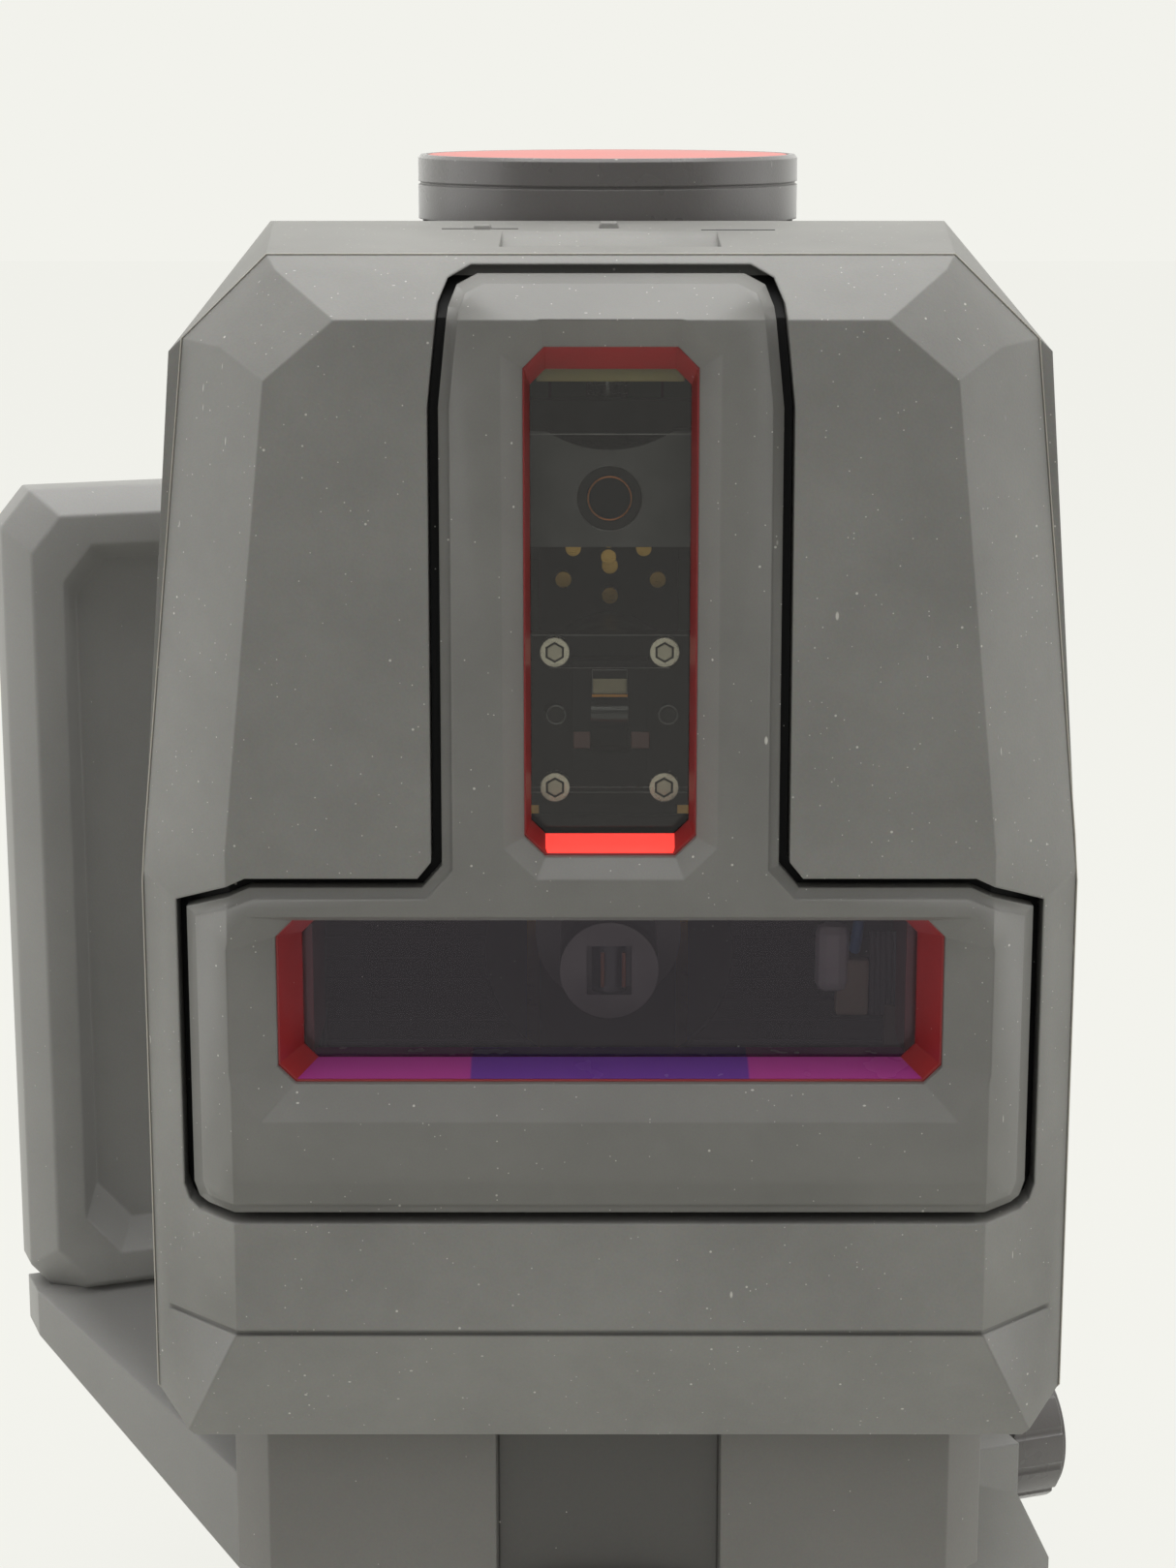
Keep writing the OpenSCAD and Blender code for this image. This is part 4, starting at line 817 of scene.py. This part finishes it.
# Orange line at the prism's foot: a painted highlight
prism_highlight_orange = moulded("orange_painted_highlight", "#c9871f", 0.2, relief_mm=0.002, dust=0.0, round_mm=0.1)
rod_low, rod_high = (Vector(v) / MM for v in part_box("vertical_fan_rod"))
rod_z = (rod_low.z + rod_high.z) / 2
front = rod_low.y - 0.7
block_piece("prism_top", (-2.3, front + 0.1, rod_high.z + 0.5),
            (2.3, rod_low.y + 2.2, rod_z + 6.2), lens_clear, "pendulum")
block_piece("prism_film", (-2.4, front - 0.05, rod_high.z + 0.15),
            (2.4, front + 0.1, rod_high.z + 0.5), prism_highlight_orange, "pendulum",
            edge_mm=0.04)
print("middle of the rod above the floor, mm:", round(rod_z, 1))

# %% Lines of light on the plate
PLATE_Y = -39.0
PLATE_LINES = {"plate_edge_top": 10.4, "plate_line_high": -10.5, "plate_line_low": -11.2}
for name, rise in PLATE_LINES.items():
    block_piece(name, (-10.6, PLATE_Y - 0.1, rod_z + rise - 0.07),
                (10.6, PLATE_Y + 0.02, rod_z + rise + 0.05), black_steel, "pendulum",
                edge_mm=0.02)
print("lines on the plate:", len(PLATE_LINES))

# %% Sockets of the four screws, in painted shade and painted reflection
HEAD_Y = -41.0
SOCKET_SPOTS = [(-7.35, 8.4), (7.35, 8.4), (-7.35, -10.1), (7.35, -10.1)]
# Each socket is a dark hexagon of painted shade, with a smaller pale one on it as a painted
# reflection on its floor
socket_painted_shade = metal("socket_shadow", "#2a2826", 0.4)
socket_painted_reflection = metal("socket_painted_reflection", "#a39c90", 0.22)
for i, (x, rise) in enumerate(SOCKET_SPOTS):
    disc_piece(f"socket_rim_{i}", (x, HEAD_Y, rod_z + rise), 1.42, 0.1, socket_painted_shade, "pendulum",
               sides=6)
    disc_piece(f"socket_floor_{i}", (x, HEAD_Y - 0.05, rod_z + rise), 1.12, 0.06, socket_painted_reflection,
               "pendulum", sides=6)
print("sockets:", len(SOCKET_SPOTS))

# %% Blind holes and wings beside the rod, in painted shade and painted reflection
SIDE_HOLES = {"left": -7.2, "right": 7.9}
WING_ENDS = (2.6 / 7.2, 4.9 / 7.2)    # as shares of the way out to the hole
# Dark red wings beside the rod: a painted red reflection
red_wing_reflection = moulded("lens_wing_red", "#4c1c1e", 0.3, dust=0.0, round_mm=0.1)
for side, hole_x in SIDE_HOLES.items():
    hole_z = rod_z - 0.5
    wing_left, wing_right = sorted(hole_x * share for share in WING_ENDS)
    ring_piece(f"side_hole_{side}", (hole_x, PLATE_Y - 0.02, hole_z), (1.25, 0.13), black_steel,
               "pendulum")
    # The black floor of each hole is painted shade
    disc_piece(f"side_hole_{side}_floor", (hole_x, PLATE_Y, hole_z), 1.1, 0.06, soft_black,
               "pendulum")
    block_piece(f"lens_wing_{side}", (wing_left, front - 0.05, rod_z - 4.5),
                (wing_right, front + 0.4, rod_z - 2.2), red_wing_reflection, "pendulum")
print("holes and wings:", 2 * len(SIDE_HOLES))

# %% Ground edges of the prism
PRISM_EDGES = {
    "prism_edge_left": ((-2.36, 2.4), (-2.28, 6.2)),
    "prism_edge_right": ((2.28, 2.4), (2.36, 6.2)),
    "prism_edge_top": ((-2.36, 6.16), (2.36, 6.26)),
    "plate_edge_mid": ((-8.0, 6.45), (8.0, 6.52)),
}
for name, ((left, foot), (right, top)) in PRISM_EDGES.items():
    block_piece(name, (left, front, rod_z + foot), (right, front + 0.12, rod_z + top), black_steel,
                "pendulum", edge_mm=0.02)
print("ground edges:", len(PRISM_EDGES))

# %% [markdown]
# ## Behind the horizontal window
# The round nose holds the second fan rod, with two brown film lines in its slot. At the right, a
# white sealing sleeve, a beige plug with a brown foot, a blue lead and a grey ribbon go up to the
# board. The leads are curves with a round section, which is how a soft lead keeps its thickness
# in a bend.

# %% Film lines in the nose
LENS_LINES = {"left": -0.9, "right": 2.0}
film_brown = moulded("dichroic_brown", "#8a4c28", 0.3, relief_mm=0.002, dust=0.0, round_mm=0.1)
line_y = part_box("horizontal_fan_rod")[0][1] / MM - 0.15
for side, x in LENS_LINES.items():
    lead_piece(f"lens_line_{side}", [(x, line_y, 138.5), (x, line_y, 136), (x, line_y, 133.6)],
               0.28, film_brown, "pendulum")
print("film lines:", len(LENS_LINES))

# %% Plug, lead and ribbon
RIBBON_CORES, CORE_PITCH = 6, 0.8
silicone_white = moulded("silicone_white", "#c9c8c6", 0.5, dust=0.0, round_mm=0.3)
nylon_beige = moulded("nylon_beige", "#a3977f", 0.5, dust=0.0, round_mm=0.2)
nylon_brown = moulded("nylon_brown", "#6f6252", 0.5, dust=0.0, round_mm=0.2)
pvc_blue = moulded("pvc_blue", "#3f74a6", 0.45, dust=0.0, round_mm=0.1)
pvc_grey = moulded("pvc_grey", "#5c5d5f", 0.5, dust=0.0, round_mm=0.1)
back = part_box("light_baffle")[0][1] / MM
# Left, foot, right and top, how far it stands out, its material and its soft edge
PLUG = {
    "plug_seal": (28.7, 131, 33.4, 141, 2.6, silicone_white, 1.5),
    "plug_body": (31.6, 127.6, 36.2, 135.6, 1.6, nylon_beige, 0.4),
    "plug_foot": (38.5, 122.6, 40.8, 129, 1.4, nylon_brown, 0.2),
}
for name, (left, foot, right, top, out, material, edge) in PLUG.items():
    block_piece(name, (left, back - out, foot), (right, back + 0.5, top), material, "laser",
                edge)
lead_piece("lead_blue", [(34.6, back - 2.0, 141.5), (34.4, back - 2.2, 139),
                         (34.2, back - 1.0, 137)], 0.8, pvc_blue, "laser")
for i in range(RIBBON_CORES):
    x = 36.6 + CORE_PITCH * i
    lead_piece(f"ribbon_core_{i}", [(x, back - 0.5, 139.5), (x + 0.2, back - 0.9, 134),
                                    (x + 0.2, back - 0.5, 127.5)],
               0.38, pvc_grey, "laser")
print("plug pieces and leads:", len(PLUG) + 1 + RIBBON_CORES)

# %% [markdown]
# ## Marks on the top
# In front of the knob two small raised nubs and two cut lines show where the lock stands. They
# are moulded in the rubber skin. Each is set on the finished skin where its image point says, so
# it follows the skin's slope.

# %% Nubs and lines in front of the knob
NUB_PINCH = 0.72    # how much smaller a nub is at its top
NUB_ROOT = -0.4     # mm below the skin
top_skin = surface_of(["rear_housing_soft"])


def nub(name, point, wide_mm, deep_mm, high_mm):
    place, normal = place_at(point, top_skin)
    shape = bmesh.new()
    bmesh.ops.create_cube(shape, size=1.0)
    for corner in shape.verts:
        at_top = corner.co.z > 0
        pinch = NUB_PINCH if at_top else 1.0
        corner.co = Vector((corner.co.x * wide_mm * pinch, corner.co.y * deep_mm * pinch,
                            high_mm if at_top else NUB_ROOT)) * MM
    bmesh.ops.bevel(shape, geom=shape.edges[:], offset=0.12 * MM, segments=2, profile=0.5,
                    affect="EDGES")
    facing = normal.to_track_quat("Z", "Y").to_matrix().to_4x4()
    shape.transform(Matrix.Translation(place) @ facing)
    finish_piece(name, mesh_of(name, shape), tpe_rubber_grey, "laser")


nub("index_nub_left", "index nub left", 2.9, 2.4, 0.55)
nub("index_nub_middle", "index nub middle", 3.1, 2.4, 0.75)
LINE_LENGTHS = {"left": 10.4, "right": 10.0}
DROP_FROM, DOWN = 20, Vector((0, 0, -1))
for side, length in LINE_LENGTHS.items():
    middle = place_at(f"index line {side}", top_skin)[0] / MM
    ends = []
    for step in (-0.5, 0.0, 0.5):
        over = Vector((middle.x + step * length, middle.y, middle.z + DROP_FROM)) * MM
        ends.append(top_skin.ray_cast(over, DOWN)[0] / MM)
    lead_piece(f"index_line_{side}", ends, 0.09, soft_black, "laser")
print("index marks: 4")

# %% [markdown]
# ## Flash line round the rim of the skin
# Along its rear rim the skin ends in a thin pale line: a painted highlight, where the rim's edge
# catches the light. It follows the outermost points of the front shell at its rear edge, which the
# convex hull of those points gives, also when the shell's size changes.

# %% Outermost points of the rim
rim_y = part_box("front_shell")[1][1]
rim = [v.co for v in nodes["front_shell"].data.vertices if abs(v.co.y - rim_y) < 0.02 * MM]
outline = sorted({(round(v.x, 5), round(v.z, 5)) for v in rim})


def turn(a, b, c):
    """Positive where the way from a by b to c turns left."""
    return (b[0] - a[0]) * (c[1] - a[1]) - (b[1] - a[1]) * (c[0] - a[0])


def half_hull(points):
    """The outer half of a convex outline, its last point left out."""
    kept = []
    for point in points:
        while len(kept) > 1 and turn(kept[-2], kept[-1], point) <= 1e-9:
            kept.pop()
        kept.append(point)
    return kept[:-1]


loop = half_hull(outline) + half_hull(outline[::-1])
print("rim corners on the flash line:", len(loop))

# %% The rim's painted highlight
rim_glint_curve = bpy.data.curves.new("rim_flash", "CURVE")
rim_glint_curve.dimensions = "3D"
rim_glint_curve.bevel_depth = 0.11 * MM
rim_glint_curve.bevel_resolution = 2
line = rim_glint_curve.splines.new("POLY")
line.points.add(len(loop) - 1)
for point, (x, z) in zip(line.points, loop):
    point.co = (x, rim_y - 0.1 * MM, z, 1)
line.use_cyclic_u = True
# Pale grey line along the rim: a painted highlight where the rim's edge catches the light
glint_pale = moulded("tpe_painted_glint", "#a8a49b", 0.5, dust=0.0, round_mm=0.05)
finish_piece("rim_flash", rim_glint_curve, glint_pale, "laser")
print("materials in all:", len(bpy.data.materials))

# %% [markdown]
# ## Light tent
# The photograph was taken in a white light tent: bright above, behind and at the sides, and dark
# where the camera stands. That dark side is what the windows mirror, so their glass looks black.
# The world is bright by direction in the same way. The camera itself sees it as white paper.

# %% World
PAPER = hex_colour("#f2f2ec")
TENT_DARK, TENT_BRIGHT = 0.26, 0.8
DARK_UP_TO, BRIGHT_FROM = -0.85, -0.1    # along Y, from straight ahead of the object to its sides
MIRROR_GAIN = 0.33                       # the tent's cloth mirrors brighter than it lights


def tent_world():
    world = bpy.data.worlds.new("tent")
    bpy.context.scene.world = world
    world.use_nodes = True
    tree = world.node_tree
    toward = add_node(tree, "TexCoord").outputs["Generated"]
    parts = add_node(tree, "SeparateXYZ", Vector=toward)
    bright = add_node(tree, "MapRange", {"interpolation_type": "SMOOTHSTEP"},
                      Value=parts.outputs["Y"], From_Min=DARK_UP_TO, From_Max=BRIGHT_FROM,
                      To_Min=TENT_DARK, To_Max=TENT_BRIGHT)
    path = add_node(tree, "LightPath").outputs
    glossy = add_node(tree, "Math", MULTIPLY_ADD, _0=path["Is Glossy Ray"], _1=MIRROR_GAIN,
                      _2=1.0)
    lit = add_node(tree, "Math", MULTIPLY, _0=bright.outputs["Result"],
                   _1=glossy.outputs["Value"])
    tent = tree.nodes["Background"]
    set_sockets(tent, Color=PAPER, Strength=lit.outputs["Value"])
    seen = add_node(tree, "Background", Color=PAPER, Strength=1.0)
    straight = add_node(tree, "Math", LARGER, _0=path["Is Camera Ray"],
                        _1=path["Is Transmission Ray"])
    both = add_node(tree, "MixShader", _0=straight.outputs["Value"],
                    _1=tent.outputs["Background"], _2=seen.outputs["Background"])
    set_sockets(tree.nodes["World Output"], Surface=both.outputs["Shader"])


tent_world()
print("tent strength, front and back:", TENT_DARK, TENT_BRIGHT)

# %% [markdown]
# ## Paper floor
# The object stands on white paper that goes on without a horizon. The paper turns darker in front
# of the object, so that the underside of the bezel and chin gets little light from below, as in
# the photograph. For the camera and for mirrors it glows evenly, and only a little of its
# shading, the object's shadow, is left in.

# %% Floor
FLOOR_SIZE = 8.0
FLOOR_NEAR, FLOOR_FAR = hex_colour("#8a8a87"), hex_colour("#e8e8e2")
NEAR_Y, FAR_Y = -0.5, -0.12
SEEN_GLOW, MIRRORED_GLOW = 0.96, 0.6


def paper_floor():
    material, tree, shader, place = new_material("paper_floor")
    depth = add_node(tree, "SeparateXYZ", Vector=place)
    away = add_node(tree, "MapRange", Value=depth.outputs["Y"], From_Min=NEAR_Y, From_Max=FAR_Y)
    paper = add_node(tree, "Mix", COLOURS, _0=away.outputs["Result"], _6=FLOOR_NEAR,
                     _7=FLOOR_FAR)
    set_sockets(shader, Base_Color=paper.outputs[2], Roughness=0.9, Specular_IOR_Level=0.1)
    glow = add_node(tree, "Emission", Color=PAPER, Strength=1.0)
    path = add_node(tree, "LightPath").outputs
    mirrored = add_node(tree, "Math", MULTIPLY, _0=path["Is Glossy Ray"], _1=MIRRORED_GLOW)
    share = add_node(tree, "Math", MULTIPLY_ADD, _0=path["Is Camera Ray"], _1=SEEN_GLOW,
                     _2=mirrored.outputs["Value"])
    both = add_node(tree, "MixShader", _0=share.outputs["Value"], _1=shader.outputs["BSDF"],
                    _2=glow.outputs["Emission"])
    set_sockets(tree.nodes["Material Output"], Surface=both.outputs["Shader"])
    return material


half = FLOOR_SIZE / 2
floor_mesh = bpy.data.meshes.new("floor")
floor_mesh.from_pydata([(-half, -half, 0), (half, -half, 0), (half, half, 0), (-half, half, 0)],
                       [], [(0, 1, 2, 3)])
floor_mesh.materials.append(paper_floor())
floor = bpy.data.objects.new("floor", floor_mesh)
bpy.context.scene.collection.objects.link(floor)
print("floor side, metres:", FLOOR_SIZE)

# %% [markdown]
# ## Lamps
# Four large soft lamps stand for the lit cloth of the tent: a strong one above, a weak one at
# each side, the left a little stronger, and a weak one over the camera. Small lamps would throw
# hard shadows, which the photograph doesn't have.

# %% Lamps
AIM = Vector((0, 0, 0.15))
# Place in metres, sides in metres and power in watts
LAMPS = {
    "tent_top": ((0, 0.05, 1.1), (1.2, 1.2), 12),
    "tent_left": ((-1.0, 0.0, 0.4), (0.9, 0.9), 2.6),
    "tent_right": ((1.0, 0.0, 0.4), (0.9, 0.9), 2.2),
    "tent_front": ((0.0, -1.0, 0.75), (0.7, 0.5), 1.2),
}
for name, (place, sides, power) in LAMPS.items():
    data = bpy.data.lights.new(name, "AREA")
    data.shape = "RECTANGLE"
    data.size, data.size_y = sides
    data.energy = power
    lamp = bpy.data.objects.new(name, data)
    lamp.location = place
    lamp.rotation_euler = (AIM - Vector(place)).to_track_quat("-Z", "Y").to_euler()
    bpy.context.scene.collection.objects.link(lamp)
bpy.context.scene.view_settings.view_transform = "Standard"
print("lamps:", len(bpy.data.lights))

# %% [markdown]
# ## How true the points are
# Each image point belongs to one finished piece. What shows of it, an outermost edge, a corner or
# a middle, is turned back to an image point and compared.

# %% How far each thing shows from its point
CARRIERS = {
    "object top": "lock_knob_cap", "object right": "rear_housing_soft",
    "rim top left": "front_shell_soft", "rim top right": "front_shell_soft",
    "cheek corner left": "front_shell_soft", "seam left": "front_shell_soft",
    "stem groove left": "front_shell_soft", "stem groove right": "front_shell_soft",
    "slit top left": "optics_hood", "slit bottom right": "optics_hood",
    "band bottom left": "optics_hood", "band bottom right": "optics_hood",
    "knob left": "lock_knob_ring", "knob right": "lock_knob_ring",
    "round nose": "horizontal_module",
    "index nub left": "index_nub_left", "index nub middle": "index_nub_middle",
    "index line left": "index_line_left", "index line right": "index_line_right",
}
MIDDLES = ("round nose", "index nub left", "index nub middle", "index line left",
           "index line right")
for point, carrier in CARRIERS.items():
    thing = bpy.data.objects[carrier] if carrier in bpy.data.objects else nodes[carrier]
    finished = thing.evaluated_get(bpy.context.evaluated_depsgraph_get()).to_mesh()
    shown = np.array([seen_at(v.co) for v in finished.vertices])
    target = np.array(POINTS[point])
    if point == "round nose":
        # Only the foremost millimetre of the module is in view
        tips = np.array([v.co.y for v in finished.vertices])
        shown = shown[tips < tips.min() + MM]
    if point in MIDDLES:
        place = (shown.min(axis=0) + shown.max(axis=0)) / 2
    elif point == "knob left":
        place = np.array([shown[:, 0].min(), target[1]])
    elif point == "object top":
        place = np.array([target[0], shown[:, 1].min()])
    elif point in ("knob right", "object right"):
        place = np.array([shown[:, 0].max(), target[1]])
    else:
        place = shown[np.argmin(((shown - target) ** 2).sum(axis=1))]
